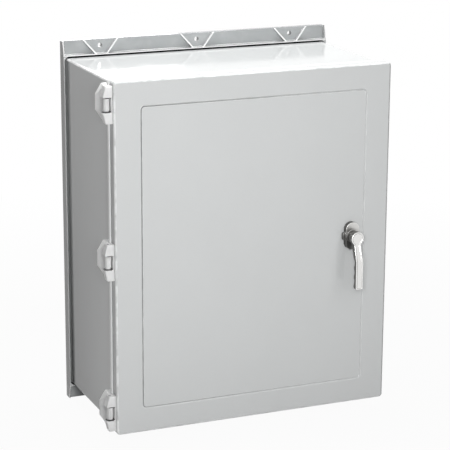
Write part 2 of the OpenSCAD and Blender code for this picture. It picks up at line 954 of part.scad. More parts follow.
module cam_pin_clips() {
    color("silver")
        at_handle()
            crank_places()
                difference() {
                    bar_y(rod_back + cam_gap, rod_back + cam_gap + clip_t, clip_r);
                    bar_y(rod_back, rod_back + cam_gap + clip_t + cut, crank_pin_d / 2);
                }
}

module cam_washer() {
    color("silver")
        at_handle()
            difference() {
                bar_y(cam_back + cam_t, cam_back + cam_t + washer_t, cam_head_r);
                bar_y(cam_back, cam_back + cam_t + washer_t + cut, cam_screw_d / 2);
            }
}

module cam_screw() {
    seat = cam_back + cam_t + washer_t;
    color("silver")
        at_handle() {
            bar_y(cam_back - 8, seat, cam_screw_d / 2);
            bar_y(seat, seat + small_head_t, cam_head_r * 0.9, cam_head_r * 0.7);
        }
}

// Height of a rod's roller axle above the handle's axis, drawn back at rest
function roller_rest(side) = half_height(side) - pad_t - keeper_t - roller_gap - roller_r - travel;

module rod(side) {
    top = roller_rest(side);
    color("silver")
        latch_half(side)
            difference() {
                union() {
                    slab(rod_front, rod_back)
                        translate([-rod_x, -crank_side])
                            square([eye_out - eye_in, eye_h], center = true);
                    translate([-rod_x - rod_w / 2, rod_front, -crank_side])
                        cube([rod_w, rod_t, top + crank_side - roller_r - 1]);
                    translate([-rod_x - rod_w / 2, rod_front, 0])
                        cube([lug_len, rod_t, top]);
                    translate([-rod_x - rod_w / 2, rod_mid, top])
                        bar_x(0, lug_len, lug_r);
                }
                slab(rod_front - cut, rod_back + cut)
                    translate([-(slot_in + slot_out) / 2, -crank_side])
                        square([slot_out - slot_in, slot_h], center = true);
                translate([-rod_x - rod_w / 2, rod_mid, top])
                    bar_x(-cut, lug_len + cut, axle_d / 2);
            }
}

module roller(side) {
    color("ivory")
        latch_half(side)
            translate([-rod_x - rod_w / 2 + lug_len + roller_side_gap, rod_mid, roller_rest(side)])
                difference() {
                    bar_x(0, roller_w, roller_r);
                    bar_x(-cut, roller_w + cut, axle_d / 2 + axle_play);
                }
}

module roller_axle(side) {
    end = lug_len + 2 * roller_side_gap + roller_w;
    color("silver")
        latch_half(side)
            translate([-rod_x - rod_w / 2, rod_mid, roller_rest(side)]) {
                bar_x(0, end, axle_d / 2);
                bar_x(end, end + axle_head_t, axle_head_r);
            }
}

module guide_screw_places() {
    for (side = [-1, 1], s = [-1, 1])
        latch_half(side)
            translate([-rod_x + s * guide_screw_span / 2, door_wall + guide_pad_t, guide_z])
                children();
}

module rod_guide(side) {
    foot = door_wall + guide_pad_t;
    half_w = rod_w / 2 + guide_edge;
    color("black")
        latch_half(side)
            difference() {
                translate([-rod_x, 0, guide_z - guide_t / 2]) {
                    translate([-half_w, foot, 0])
                        cube([2 * half_w, guide_back - foot, guide_t]);
                    translate([-guide_foot_w / 2, foot, 0])
                        cube([guide_foot_w, guide_foot_t, guide_t]);
                }
                translate([-rod_x - rod_w / 2 - guide_play, rod_front - guide_play, guide_z - guide_t])
                    cube([rod_w + 2 * guide_play, rod_t + 2 * guide_play, 2 * guide_t]);
                for (s = [-1, 1])
                    translate([-rod_x + s * guide_screw_span / 2, 0, guide_z])
                        bar_y(foot - cut, foot + guide_foot_t + cut, small_screw_d / 2);
            }
}

module rod_guide_screws() {
    color("silver")
        guide_screw_places() {
            bar_y(-small_screw_bite, guide_foot_t, small_screw_d / 2);
            bar_y(guide_foot_t, guide_foot_t + small_head_t, small_head_r, small_head_r * 0.8);
        }
}

// Keepers: a foot on the box's wall and a tab that what latches goes behind

module keeper(side) {
    top = half_height(side) - pad_t;
    color("silver")
        latch_half(side)
            difference() {
                translate([-rod_x - keeper_w / 2, tab_front, 0]) {
                    translate([0, 0, top - keeper_t])
                        cube([keeper_w, keeper_foot, keeper_t]);
                    translate([0, 0, top + pad_t - keeper_drop])
                        cube([keeper_w, keeper_t, keeper_drop - pad_t]);
                }
                for (s = [-1, 1])
                    translate([-rod_x + s * keeper_screw_span / 2, keeper_screw_d, top - keeper_t - cut])
                        cylinder(h = keeper_t + 2 * cut, r = small_screw_d / 2, $fn = 48);
            }
}

module centre_keeper() {
    wall_x = cavity_w / 2 - pad_t;
    color("silver")
        difference() {
            translate([0, front_y + tab_front, handle_z - keeper_w / 2]) {
                translate([wall_x - keeper_t, 0, 0])
                    cube([keeper_t, keeper_foot, keeper_w]);
                translate([wall_x + pad_t - keeper_reach, 0, 0])
                    cube([keeper_reach - pad_t, keeper_t, keeper_w]);
            }
            for (s = [-1, 1])
                translate([wall_x - keeper_t, front_y + keeper_screw_d, handle_z + s * keeper_screw_span / 2])
                    bar_x(-cut, keeper_t + cut, small_screw_d / 2);
        }
}

module keeper_screws() {
    color("silver")
        keeper_screw_places() {
            bar_x(-keeper_t, small_screw_bite, small_screw_d / 2);
            bar_x(-keeper_t - small_head_t, -keeper_t, small_head_r * 0.8, small_head_r);
        }
}

enclosure_body();
door();
door_gasket();
hinge_body_leaf(0);  // hinge_body_leaf_top
hinge_body_leaf(1);  // hinge_body_leaf_middle
hinge_body_leaf(2);  // hinge_body_leaf_bottom
hinge_door_leaf(0);  // hinge_door_leaf_top
hinge_door_leaf(1);  // hinge_door_leaf_middle
hinge_door_leaf(2);  // hinge_door_leaf_bottom
hinge_pin(0);  // hinge_pin_top
hinge_pin(1);  // hinge_pin_middle
hinge_pin(2);  // hinge_pin_bottom
hinge_body_screws();
hinge_door_screws();
handle_base();
handle_base_gasket();
handle_base_screws();
handle_lever();
handle_spindle();
spindle_seal();
latch_cam();
cam_pins();
cam_pin_clips();
cam_washer();
cam_screw();
rod(1);  // upper_rod
rod(-1);  // lower_rod
roller(1);  // upper_roller
roller(-1);  // lower_roller
roller_axle(1);  // upper_roller_axle
roller_axle(-1);  // lower_roller_axle
rod_guide(1);  // upper_rod_guide
rod_guide(-1);  // lower_rod_guide
rod_guide_screws();
keeper(1);  // upper_keeper
keeper(-1);  // lower_keeper
centre_keeper();
keeper_screws();
panel_inserts();
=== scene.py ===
# %% [markdown]
# # A moulded wall enclosure with a lever latch
# The real object is a grey box moulded in glass-filled polyester. It has a wide back flange for the wall,
# a door on three plastic hinges, and a metal lever that works a three-point latch.
# The CAD model already has every solid in its place, so this lesson loads it as a fixed frame
# and then gives each piece its edges, small parts and finish.

# %% Load the frame
import json
import math
import bmesh
import bpy
from mathutils import Matrix, Vector

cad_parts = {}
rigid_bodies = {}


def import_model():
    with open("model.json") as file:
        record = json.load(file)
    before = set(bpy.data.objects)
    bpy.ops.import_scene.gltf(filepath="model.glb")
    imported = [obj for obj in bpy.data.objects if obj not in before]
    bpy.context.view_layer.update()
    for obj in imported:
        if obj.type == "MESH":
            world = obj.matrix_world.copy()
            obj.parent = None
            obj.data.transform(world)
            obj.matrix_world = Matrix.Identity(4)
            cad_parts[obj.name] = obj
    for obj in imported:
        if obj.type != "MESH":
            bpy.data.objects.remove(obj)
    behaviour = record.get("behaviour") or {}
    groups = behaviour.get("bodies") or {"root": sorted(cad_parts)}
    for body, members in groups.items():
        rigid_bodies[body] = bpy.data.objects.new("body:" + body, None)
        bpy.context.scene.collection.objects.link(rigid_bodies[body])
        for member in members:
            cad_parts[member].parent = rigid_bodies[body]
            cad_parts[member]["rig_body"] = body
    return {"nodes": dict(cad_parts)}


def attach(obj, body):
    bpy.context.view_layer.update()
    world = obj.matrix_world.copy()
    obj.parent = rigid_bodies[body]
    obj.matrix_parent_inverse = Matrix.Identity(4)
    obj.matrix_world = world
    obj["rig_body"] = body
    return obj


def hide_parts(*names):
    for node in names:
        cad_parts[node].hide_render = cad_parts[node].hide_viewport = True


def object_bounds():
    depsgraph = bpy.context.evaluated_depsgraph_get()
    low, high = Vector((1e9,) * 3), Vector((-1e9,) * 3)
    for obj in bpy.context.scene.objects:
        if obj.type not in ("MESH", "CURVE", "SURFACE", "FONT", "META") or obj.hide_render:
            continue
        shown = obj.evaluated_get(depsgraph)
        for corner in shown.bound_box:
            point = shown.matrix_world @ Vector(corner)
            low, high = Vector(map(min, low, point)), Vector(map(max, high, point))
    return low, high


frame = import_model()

MM = 0.001
scene = bpy.context.scene
nodes = frame["nodes"]
cad_box = [list(corner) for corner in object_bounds()]
print("nodes", len(nodes), "box", [[round(v, 4) for v in corner] for corner in cad_box])

# %% [markdown]
# ## The camera
# The photograph was taken from the left, a little above the box, with a long lens.
# A camera can be aimed by hand until the picture looks right, but edges then stay a few pixels off.
# Here the angles and the place were fitted to the box's own edges, so the camera needs no shift.
# A camera looks along its own -Z, so its three axes are written straight into a matrix.

# %% Camera
IMAGE_PX = 450
FOCAL_PX = 1825.0
SENSOR_MM = 36
FAR_CLIP = 40
CAMERA_AT = Vector((-1.2421, -3.1105, 0.8790))
YAW, PITCH, ROLL = 22.76, 15.19, -0.26
yaw, pitch, roll = (math.radians(degrees) for degrees in (YAW, PITCH, ROLL))
lens = bpy.data.cameras.new("camera")
lens.sensor_width = SENSOR_MM
lens.lens = SENSOR_MM * FOCAL_PX / IMAGE_PX
lens.clip_end = FAR_CLIP
camera = bpy.data.objects.new("camera", lens)
scene.collection.objects.link(camera)
ahead = Vector((math.sin(yaw) * math.cos(pitch), math.cos(yaw) * math.cos(pitch), -math.sin(pitch)))
right = Vector((math.cos(yaw), -math.sin(yaw), 0))
down = ahead.cross(right)
image_x = right * math.cos(roll) + down * math.sin(roll)
image_y = down * math.cos(roll) - right * math.sin(roll)
placing = Matrix((image_x, -image_y, -ahead)).transposed().to_4x4()
placing.translation = CAMERA_AT
camera.matrix_world = placing
scene.camera = camera
scene.view_settings.view_transform = "Standard"
print("camera lens", round(lens.lens, 1), "mm")

# %% [markdown]
# ## Small helpers for node trees
# Every finish and every repeated part below is a tree of nodes. Trees are usually drawn with the mouse.
# In a script, each link and value is a line of its own, so a few helpers keep the cells readable.
# One adds a node and fills its inputs, another fills a socket with a link or a plain value,
# and the rest do sums, mix two colours and stretch a range.

# %% Node helpers
def join(tree, *pairs):
    for source, target in pairs:
        if isinstance(source, bpy.types.NodeSocket):
            tree.links.new(source, target)
        elif target.type == "RGBA":
            target.default_value = (*source, 1.0)
        else:
            target.default_value = source


def add(tree, kind, inputs=None, **settings):
    made = tree.nodes.new(kind)
    for key, value in settings.items():
        setattr(made, key, value)
    for key, value in (inputs or {}).items():
        join(tree, (value, made.inputs[key]))
    return made


def sums(tree, operation, a, b=0.0):
    return add(tree, "ShaderNodeMath", {0: a, 1: b}, operation=operation).outputs[0]


def product(tree, first, *others):
    for value in others:
        first = sums(tree, "MULTIPLY", first, value)
    return first


def rest_of(tree, share):
    return sums(tree, "SUBTRACT", 1.0, share)


def blended(tree, share, a, b):
    made = add(tree, "ShaderNodeMix", {0: share, 6: a, 7: b}, data_type="RGBA", clamp_factor=True)
    return made.outputs[2]


def spread(tree, value, low, high, to_low=0.0, to_high=1.0):
    limits = {"From Min": low, "From Max": high, "To Min": to_low, "To Max": to_high}
    return add(tree, "ShaderNodeMapRange", {"Value": value, **limits}).outputs["Result"]


print("node helpers ready")

# %% [markdown]
# ## The studio
# The photograph is a cut-out on white. A white room would do, but it would also flood the box with light.
# So the world is plain white only to the camera and in reflections, and almost dark for everything else.
# The floor is a pale disc that keeps a faint shadow and fades into the white at its rim.

# %% World
AMBIENT = 0.02
WHITE = (1.0, 1.0, 1.0)


def shown_rays(tree):
    path = add(tree, "ShaderNodeLightPath").outputs
    seen = sums(tree, "MAXIMUM", path["Is Camera Ray"], path["Is Glossy Ray"])
    return sums(tree, "MAXIMUM", seen, path["Is Transmission Ray"])


world = bpy.data.worlds.new("studio")
scene.world = world
world.use_nodes = True
tree = world.node_tree
fill = tree.nodes["Background"]
join(tree, (WHITE, fill.inputs["Color"]), (AMBIENT, fill.inputs["Strength"]))
white = add(tree, "ShaderNodeBackground", {"Color": WHITE, "Strength": 1.0})
choose = add(tree, "ShaderNodeMixShader", {0: shown_rays(tree), 1: fill.outputs[0], 2: white.outputs[0]})
join(tree, (choose.outputs[0], tree.nodes["World Output"].inputs["Surface"]))
print("world", world.name, "ambient", AMBIENT)

# %% Floor finish
FLOOR_R = 1.6
FLOOR_TONES = ((0.36, 0.36, 0.36), (0.39, 0.39, 0.39))
FADE_FROM, FADE_TO = 0.55, FLOOR_R * 0.97
FADE_NEAR = 0.955
FLOOR_ROUGH, FLOOR_SHINE, FLOOR_CLOUDS = 0.9, 0.1, 3.0
floor_finish = bpy.data.materials.new("pale floor")
floor_finish.use_nodes = True
tree = floor_finish.node_tree
paint = tree.nodes["Principled BSDF"]
join(tree, (FLOOR_ROUGH, paint.inputs["Roughness"]), (FLOOR_SHINE, paint.inputs["Specular IOR Level"]))
spot = add(tree, "ShaderNodeTexCoord").outputs["Object"]
flat = add(tree, "ShaderNodeVectorMath", {0: spot, 1: (1, 1, 0)}, operation="MULTIPLY")
away = add(tree, "ShaderNodeVectorMath", {0: flat.outputs[0]}, operation="LENGTH")
grain = add(tree, "ShaderNodeTexNoise", {"Vector": spot, "Scale": FLOOR_CLOUDS, "Detail": 2.0})
join(tree, (blended(tree, grain.outputs["Fac"], *FLOOR_TONES), paint.inputs["Base Color"]))
fade = spread(tree, away.outputs["Value"], FADE_FROM, FADE_TO, FADE_NEAR, 1.0)
glow = add(tree, "ShaderNodeEmission", {"Color": WHITE, "Strength": 1.0})
white_share = sums(tree, "MULTIPLY", shown_rays(tree), fade)
choose = add(tree, "ShaderNodeMixShader", {0: white_share, 1: paint.outputs[0], 2: glow.outputs[0]})
join(tree, (choose.outputs[0], tree.nodes["Material Output"].inputs["Surface"]))
print("floor finish", floor_finish.name)

# %% Floor
FLOOR_SIDES = 96
FLOOR_AT = Vector((0, -0.1, cad_box[0][2] - 0.0005))
mesh = bpy.data.meshes.new("floor")
bm = bmesh.new()
bmesh.ops.create_circle(bm, cap_ends=True, segments=FLOOR_SIDES, radius=FLOOR_R,
                        matrix=Matrix.Translation(FLOOR_AT))
bm.to_mesh(mesh)
bm.free()
mesh.materials.append(floor_finish)
floor = bpy.data.objects.new("floor", mesh)
scene.collection.objects.link(floor)
print("floor at z", round(FLOOR_AT.z, 4))

# %% [markdown]
# ## The lamps
# The photograph's front is brightest at the upper left and falls off slowly. One lamp can't give both that
# and the white top, so a wide soft lamp stands in front and a small one to the left of it,
# and a third hangs over the wall side, where it whitens the top and the ribs' edges.
# A fourth, behind the box, lights it for views from the back. The wide lamp is kept out of reflections,
# because the white studio already shows in the metal there.

# %% Lamps
def lamp(name, at, to, size, power):
    data = bpy.data.lights.new(name, "AREA")
    data.shape = "RECTANGLE"
    data.size, data.size_y = size
    data.energy = power
    made = bpy.data.objects.new(name, data)
    scene.collection.objects.link(made)
    made.location = at
    made.rotation_euler = (Vector(to) - Vector(at)).to_track_quat("-Z", "Y").to_euler()
    return made


# Each lamp: its place, the point that it looks at, its width and height, and its power in watts
front_lamp = lamp("front lamp", (0.3, -1.8, 0.75), (0.0, -0.28, 0.0), (2.0, 1.8), 16.5)
front_lamp.visible_glossy = False
lamp("left lamp", (-0.55, -1.6, 0.45), (-0.1, -0.28, 0.1), (0.45, 0.45), 11.5)
lamp("top lamp", (0.0, 0.1, 1.6), (0.0, 0.0, 0.3), (1.2, 0.6), 29.5)
lamp("back lamp", (0.1, 1.7, 0.5), (0.0, 0.0, 0.0), (1.0, 1.0), 12)

# %% [markdown]
# ## Shared surface effects
# Several finishes need the same effects. Copying nodes from material to material would work,
# but a later change would miss some of the copies, so each effect is one node group that is built once.
# A group only puts out colours, values and heights. The shader itself stays in each material,
# where a game engine can read it.

# %% Group maker
SURFACE = {"Colour": "Color", "Roughness": "Float", "Height": "Float"}


def new_group(name, inputs, outputs, tree_kind="ShaderNodeTree"):
    # An input is given by its kind, or by a number that is its first value
    group = bpy.data.node_groups.new(name, tree_kind)
    for label, value in inputs.items():
        kind = value if isinstance(value, str) else "Int" if isinstance(value, int) else "Float"
        socket = group.interface.new_socket(label, in_out="INPUT", socket_type="NodeSocket" + kind)
        if not isinstance(value, str):
            socket.default_value = value
    for label, kind in outputs.items():
        group.interface.new_socket(label, in_out="OUTPUT", socket_type="NodeSocket" + kind)
    return group, add(group, "NodeGroupInput").outputs, add(group, "NodeGroupOutput").inputs


def here(tree):
    return add(tree, "ShaderNodeTexCoord").outputs["Object"]


def mark(tree, name):
    return add(tree, "ShaderNodeAttribute", attribute_name=name).outputs["Fac"]


def split(tree, vector):
    return add(tree, "ShaderNodeSeparateXYZ", {0: vector}).outputs


print("group maker ready")

# %% Clouds, swings and scaled colours
def noise(tree, coords, scale, detail=2.0, distortion=0.0, rough=0.5):
    look = {"Scale": scale, "Detail": detail, "Distortion": distortion, "Roughness": rough}
    return add(tree, "ShaderNodeTexNoise", {"Vector": coords, **look}).outputs["Fac"]


def swing(tree, value, amount):
    # A noise lies round 0.5, so this makes it go up and down by an amount
    return product(tree, sums(tree, "SUBTRACT", value, 0.5), amount)


def scaled(tree, colour, tone):
    share = sums(tree, "ADD", tone, 1.0)
    return add(tree, "ShaderNodeVectorMath", {0: colour, "Scale": share}, operation="SCALE").outputs[0]


print("noise, swing and scaled ready")

# %% [markdown]
# ### Moulded skin
# Sheet moulding compound is resin with chopped glass. Close up, its skin has soft clouds of tone,
# short curled strands that show faintly through the resin, and a fine orange-peel surface.
# A picture of such a skin would repeat and blur, so noises make it at any size.
# A strand is drawn where a noise passes through its middle value: that level line curls like a fibre.

# %% Group: moulded skin
CLOUDS, GLOSS_CLOUDS, STRANDS, PEEL = 9.0, 30.0, 300.0, 420.0
STRAND_WIDTH = 0.02
GLOSS_SWING = 0.12
PEEL_HEIGHT, STRAND_HEIGHT = 0.8, 0.15
skin, given, result = new_group(
    "moulded skin", {"Colour": "Color", "Roughness": 0.35, "Clouds": 0.05, "Strands": 0.03}, SURFACE)
place = here(skin)
clouds = swing(skin, noise(skin, place, CLOUDS, 4.0, 0.3, 0.6), given["Clouds"])
level_line = sums(skin, "SUBTRACT", noise(skin, place, STRANDS, 3.0, 0.6), 0.5)
strands = spread(skin, sums(skin, "ABSOLUTE", level_line), 0.0, STRAND_WIDTH, 1.0, 0.0)
tone = sums(skin, "SUBTRACT", clouds, product(skin, strands, given["Strands"]))
gloss = swing(skin, noise(skin, place, GLOSS_CLOUDS, 3.0), GLOSS_SWING)
peel = product(skin, noise(skin, place, PEEL, 1.0), PEEL_HEIGHT)
join(skin, (scaled(skin, given["Colour"], tone), result["Colour"]),
     (sums(skin, "ADD", gloss, given["Roughness"]), result["Roughness"]),
     (sums(skin, "ADD", peel, product(skin, strands, STRAND_HEIGHT)), result["Height"]))
print("group", skin.name)

# %% [markdown]
# ### Painted edge highlights
# Rounded edges are given a painted highlight: a paler colour, in patches. A shader can search for edges while
# it renders, but it would also find those that nothing touches. Each rounded piece below carries an attribute
# instead, named soft_edge, that is 1 on its rounded strips, and on a moulding's sloping corners too.
# The painted highlight sits only there, in patches.

# %% Group: painted edge highlight
EDGE_HIGHLIGHT_PATCHES = 55.0
EDGE_HIGHLIGHT_FROM, EDGE_HIGHLIGHT_TO = 0.3, 0.6
edge_highlight, given, result = new_group(
    "painted edge highlight", {"Colour": "Color", "Highlight": "Color", "Amount": 0.5}, {"Colour": "Color"})
patches = spread(edge_highlight, noise(edge_highlight, here(edge_highlight), EDGE_HIGHLIGHT_PATCHES, 3.0), EDGE_HIGHLIGHT_FROM, EDGE_HIGHLIGHT_TO)
mask = product(edge_highlight, mark(edge_highlight, "soft_edge"), patches, given["Amount"])
join(edge_highlight, (blended(edge_highlight, mask, given["Colour"], given["Highlight"]), result["Colour"]))
print("group", edge_highlight.name)

# %% [markdown]
# ### Bands of painted shade, painted highlight and soil
# Painted shade darkens the line moulded on the door, the slot between the box
# and its flange, the flange's end walls, its plate and the sides of its ribs, the door's sides, and the box's
# sides low at the rear.
# Hands soil the door's opening edge. The box's lip and the ribs' fronts get a painted highlight instead, a
# paler colour.
# Painting each by hand would tie it to one mesh. All of them run round the box as rectangles,
# so one mask serves: the space between two rectangles, getting stronger from one depth to another.
# It can leave out faces that look forwards or sideways, and weaken towards the handle, the hinges or the top.

# %% Group: bands of painted shade, painted highlight and soil
BAND_PATCHES = 40.0
BAND_FROM, BAND_TO, BAND_LEAST = 0.2, 0.55, 0.7
RAMP_X, RAMP_Z = 0.2, 0.31
shade_highlight_and_soil, given, result = new_group(
    "band of painted shade, highlight and soil",
    {"Colour": "Color", "Tint": "Color", "Amount": 0.8, "Inner X": 0.5, "Inner Z": 0.5, "Outer X": 0.3,
     "Outer Z": 0.4, "Bare Y": -0.29, "Deep Y": -0.28, "End Y": 0.0, "Off fronts": 0.0, "Off sides": 0.0,
     "Wiped": 0.0, "Handled": 0.0, "Low": 0.0, "Even": 0.0},
    {"Colour": "Color"})
place = here(shade_highlight_and_soil)
x, y, z = split(shade_highlight_and_soil, place)


def past(name):
    beside = sums(shade_highlight_and_soil, "SUBTRACT", sums(shade_highlight_and_soil, "ABSOLUTE", x), given[name + " X"])
    above = sums(shade_highlight_and_soil, "SUBTRACT", sums(shade_highlight_and_soil, "ABSOLUTE", z), given[name + " Z"])
    return sums(shade_highlight_and_soil, "MAXIMUM", beside, above)


ring = product(shade_highlight_and_soil, sums(shade_highlight_and_soil, "GREATER_THAN", past("Inner")), sums(shade_highlight_and_soil, "LESS_THAN", past("Outer")),
               sums(shade_highlight_and_soil, "LESS_THAN", y, given["End Y"]))
front = mark(shade_highlight_and_soil, "front_face")
handle_side = spread(shade_highlight_and_soil, x, -RAMP_X, RAMP_X)
high = spread(shade_highlight_and_soil, z, -RAMP_Z, RAMP_Z)
for name, share in (("Off fronts", front), ("Off sides", rest_of(shade_highlight_and_soil, front)), ("Wiped", handle_side),
                    ("Handled", rest_of(shade_highlight_and_soil, handle_side)), ("Low", high)):
    ring = product(shade_highlight_and_soil, ring, rest_of(shade_highlight_and_soil, product(shade_highlight_and_soil, share, given[name])))
patches = noise(shade_highlight_and_soil, place, BAND_PATCHES, 4.0)
patches = spread(shade_highlight_and_soil, patches, BAND_FROM, BAND_TO, BAND_LEAST, 1.0)
patches = sums(shade_highlight_and_soil, "MAXIMUM", patches, given["Even"])
mask = product(shade_highlight_and_soil, ring, spread(shade_highlight_and_soil, y, given["Bare Y"], given["Deep Y"]), patches, given["Amount"])
join(shade_highlight_and_soil, (blended(shade_highlight_and_soil, mask, given["Colour"], given["Tint"]), result["Colour"]))
print("group", shade_highlight_and_soil.name)

# %% [markdown]
# ### Cast and plated metal
# The lever and its base are zinc castings with a satin plate: a fine blasted grain under the plate,
# and slow changes of gloss where it was handled. The rods and brackets are bright zinc-plated steel,
# whose plate clouds in small cells and keeps faint rolling lines. Noise suits the grain.
# A Voronoi texture suits the cells, because it fills space with patches of one tone each,
# and a noise stretched along Z gives the lines.

# %% Group: cast metal
GRAIN, HANDLING = 1500.0, 48.0
TONE_SWING, HANDLED_SWING = 0.10, 0.16
cast, given, result = new_group("cast metal", {"Colour": "Color", "Roughness": 0.3, "Grain": 0.1}, SURFACE)
place = here(cast)
grain = noise(cast, place, GRAIN)
cloud = noise(cast, place, HANDLING, 3.0)
fine = swing(cast, grain, given["Grain"])
tone = sums(cast, "ADD", swing(cast, cloud, TONE_SWING), fine)
gloss = sums(cast, "ADD", swing(cast, cloud, HANDLED_SWING), fine)
join(cast, (scaled(cast, given["Colour"], tone), result["Colour"]),
     (sums(cast, "ADD", given["Roughness"], gloss), result["Roughness"]),
     (grain, result["Height"]))
print("group", cast.name)

# %% Group: zinc bloom
CELLS = 210.0
ROLLING = (900.0, 900.0, 14.0)
BLOOM_SWING = 0.22
bloom, given, result = new_group(
    "zinc bloom", {"Bright": "Color", "Dull": "Color", "Roughness": 0.3}, SURFACE)
place = here(bloom)
cells = add(bloom, "ShaderNodeTexVoronoi", {"Vector": place, "Scale": CELLS, "Randomness": 1.0})
cell = add(bloom, "ShaderNodeSeparateColor", {0: cells.outputs["Color"]}).outputs[0]
drawn = add(bloom, "ShaderNodeMapping", {"Vector": place, "Scale": ROLLING})
lines = noise(bloom, drawn.outputs[0], 1.0)
cloud = product(bloom, sums(bloom, "ADD", cell, lines), 0.5)
join(bloom, (blended(bloom, cloud, given["Bright"], given["Dull"]), result["Colour"]),
     (sums(bloom, "ADD", given["Roughness"], swing(bloom, cloud, BLOOM_SWING)), result["Roughness"]),
     (lines, result["Height"]))
print("group", bloom.name)

# %% [markdown]
# ### Painted shade on the sides
# The cast lever and base are given painted shade: their colour goes from a bright front to a dark colour at
# their sides, which are also rougher.
# Two materials on one casting would leave a hard seam between them. Each rounded piece
# carries an attribute named front_face instead, which goes from 1 on its front to 0 at its sides,
# and is a little less on the floors of its recesses, which so get a little painted shade too.

# %% Group: painted shade on the sides
painted_side_shade, given, result = new_group(
    "painted shade on the sides", {"Colour": "Color", "Roughness": 0.3, "Dull": "Color", "Duller": 0.15},
    {"Colour": "Color", "Roughness": "Float"})
front = mark(painted_side_shade, "front_face")
duller = product(painted_side_shade, rest_of(painted_side_shade, front), given["Duller"])
join(painted_side_shade, (blended(painted_side_shade, front, given["Dull"], given["Colour"]), result["Colour"]),
     (sums(painted_side_shade, "ADD", given["Roughness"], duller), result["Roughness"]))
print("group", painted_side_shade.name)

# %% [markdown]
# ### Painted shade round the neck
# The base is given painted shade round the lever's neck, most of all below it.
# It has no outline to model, so its mask is a soft ball round one point, with an uneven rim.

# %% Group: painted shade round the neck
RIM_WOBBLE = 120.0
UNEVEN = 0.012
neck_shade, given, result = new_group(
    "neck_shade",
    {"Colour": "Color", "Tint": "Color", "Amount": 0.8, "Centre": "Vector", "Inner": 0.01, "Outer": 0.03},
    {"Colour": "Color"})
place = here(neck_shade)
away = add(neck_shade, "ShaderNodeVectorMath", {0: place, 1: given["Centre"]}, operation="DISTANCE")
uneven = swing(neck_shade, noise(neck_shade, place, RIM_WOBBLE, 3.0), UNEVEN)
reach = sums(neck_shade, "ADD", away.outputs["Value"], uneven)
limits = {"From Min": given["Inner"], "From Max": given["Outer"], "To Min": 1.0, "To Max": 0.0}
fade = add(neck_shade, "ShaderNodeMapRange", {"Value": reach, **limits}, interpolation_type="SMOOTHSTEP")
mask = product(neck_shade, fade.outputs[0], given["Amount"])
join(neck_shade, (blended(neck_shade, mask, given["Colour"], given["Tint"]), result["Colour"]))
print("group", neck_shade.name)

# %% [markdown]
# ### Painted shade in the knuckles
# Each hinge has a gap above and below its knuckle, and painted shade darkens it there. Six small masks would
# do it, but the three hinges are evenly spaced, so folding the height makes one mask serve for all of them.
# It stays close to the line of the pins.

# %% Group: painted shade in the knuckles
knuckle, given, result = new_group(
    "painted knuckle gap shade",
    {"Colour": "Color", "Tint": "Color", "Amount": 0.8, "Pin": "Vector", "Reach": 0.01, "Half pitch": 0.1,
     "From": 0.01, "To": 0.012},
    {"Colour": "Color"})
place = here(knuckle)
level = add(knuckle, "ShaderNodeVectorMath", {0: place, 1: (1.0, 1.0, 0.0)}, operation="MULTIPLY")
away = add(knuckle, "ShaderNodeVectorMath", {0: level.outputs[0], 1: given["Pin"]}, operation="DISTANCE")
folded = sums(knuckle, "PINGPONG", split(knuckle, place)[2], given["Half pitch"])
mask = product(knuckle, sums(knuckle, "GREATER_THAN", folded, given["From"]),
               sums(knuckle, "LESS_THAN", folded, given["To"]),
               sums(knuckle, "LESS_THAN", away.outputs["Value"], given["Reach"]), given["Amount"])
join(knuckle, (blended(knuckle, mask, given["Colour"], given["Tint"]), result["Colour"]))
print("group", knuckle.name)

# %% [markdown]
# ## The finishes
# Each material places the groups it needs and feeds one shader. The layers lie in this order:
# the surface itself, then the painted shade on the sides, then the painted edge highlight, then the bands and
# spots of painted shade, painted highlight and soil. Numbers that are the same all over, such as how metallic
# a thing is, are set on the shader itself.

# %% Material maker
def finish(name, effect, values, bump, edge=None, shaded_side_colour=None, layers=(), **plain):
    made = bpy.data.materials.new(name)
    made.use_nodes = True
    tree = made.node_tree
    shader = tree.nodes["Principled BSDF"].inputs
    for key, value in plain.items():
        join(tree, (value, shader[key.replace("_", " ")]))
    surface = add(tree, "ShaderNodeGroup", values, node_tree=effect).outputs
    colour, gloss = surface["Colour"], surface["Roughness"]
    # The side colour is painted shade on the sides of cast pieces
    if shaded_side_colour:
        feeds = {"Colour": colour, "Roughness": gloss, "Dull": shaded_side_colour}
        colour, gloss = add(tree, "ShaderNodeGroup", feeds, node_tree=painted_side_shade).outputs
    # edge: a paler colour and its amount, a painted highlight on rounded edges
    if edge:
        layers = ((edge_highlight, {"Highlight": edge[0], "Amount": edge[1]}), *layers)
    for group, look in layers:
        colour = add(tree, "ShaderNodeGroup", {"Colour": colour, **look}, node_tree=group).outputs["Colour"]
    heights = {"Strength": bump[0], "Distance": bump[1], "Height": surface["Height"]}
    relief = add(tree, "ShaderNodeBump", heights)
    join(tree, (colour, shader["Base Color"]), (gloss, shader["Roughness"]),
         (relief.outputs["Normal"], shader["Normal"]))
    return made


def band(tint, amount, bare, deep, end, **limits):
    values = {"Tint": tint, "Amount": amount, "Bare Y": bare, "Deep Y": deep, "End Y": end}
    values.update({key.replace("_", " "): value for key, value in limits.items()})
    return shade_highlight_and_soil, values


print("material maker ready")

# %% [markdown]
# ### Grey mouldings
# The box and the door are one grey compound, so they share their skin and differ only in their bands.
# Each band's depths and rectangles are places on the CAD solid, in metres.

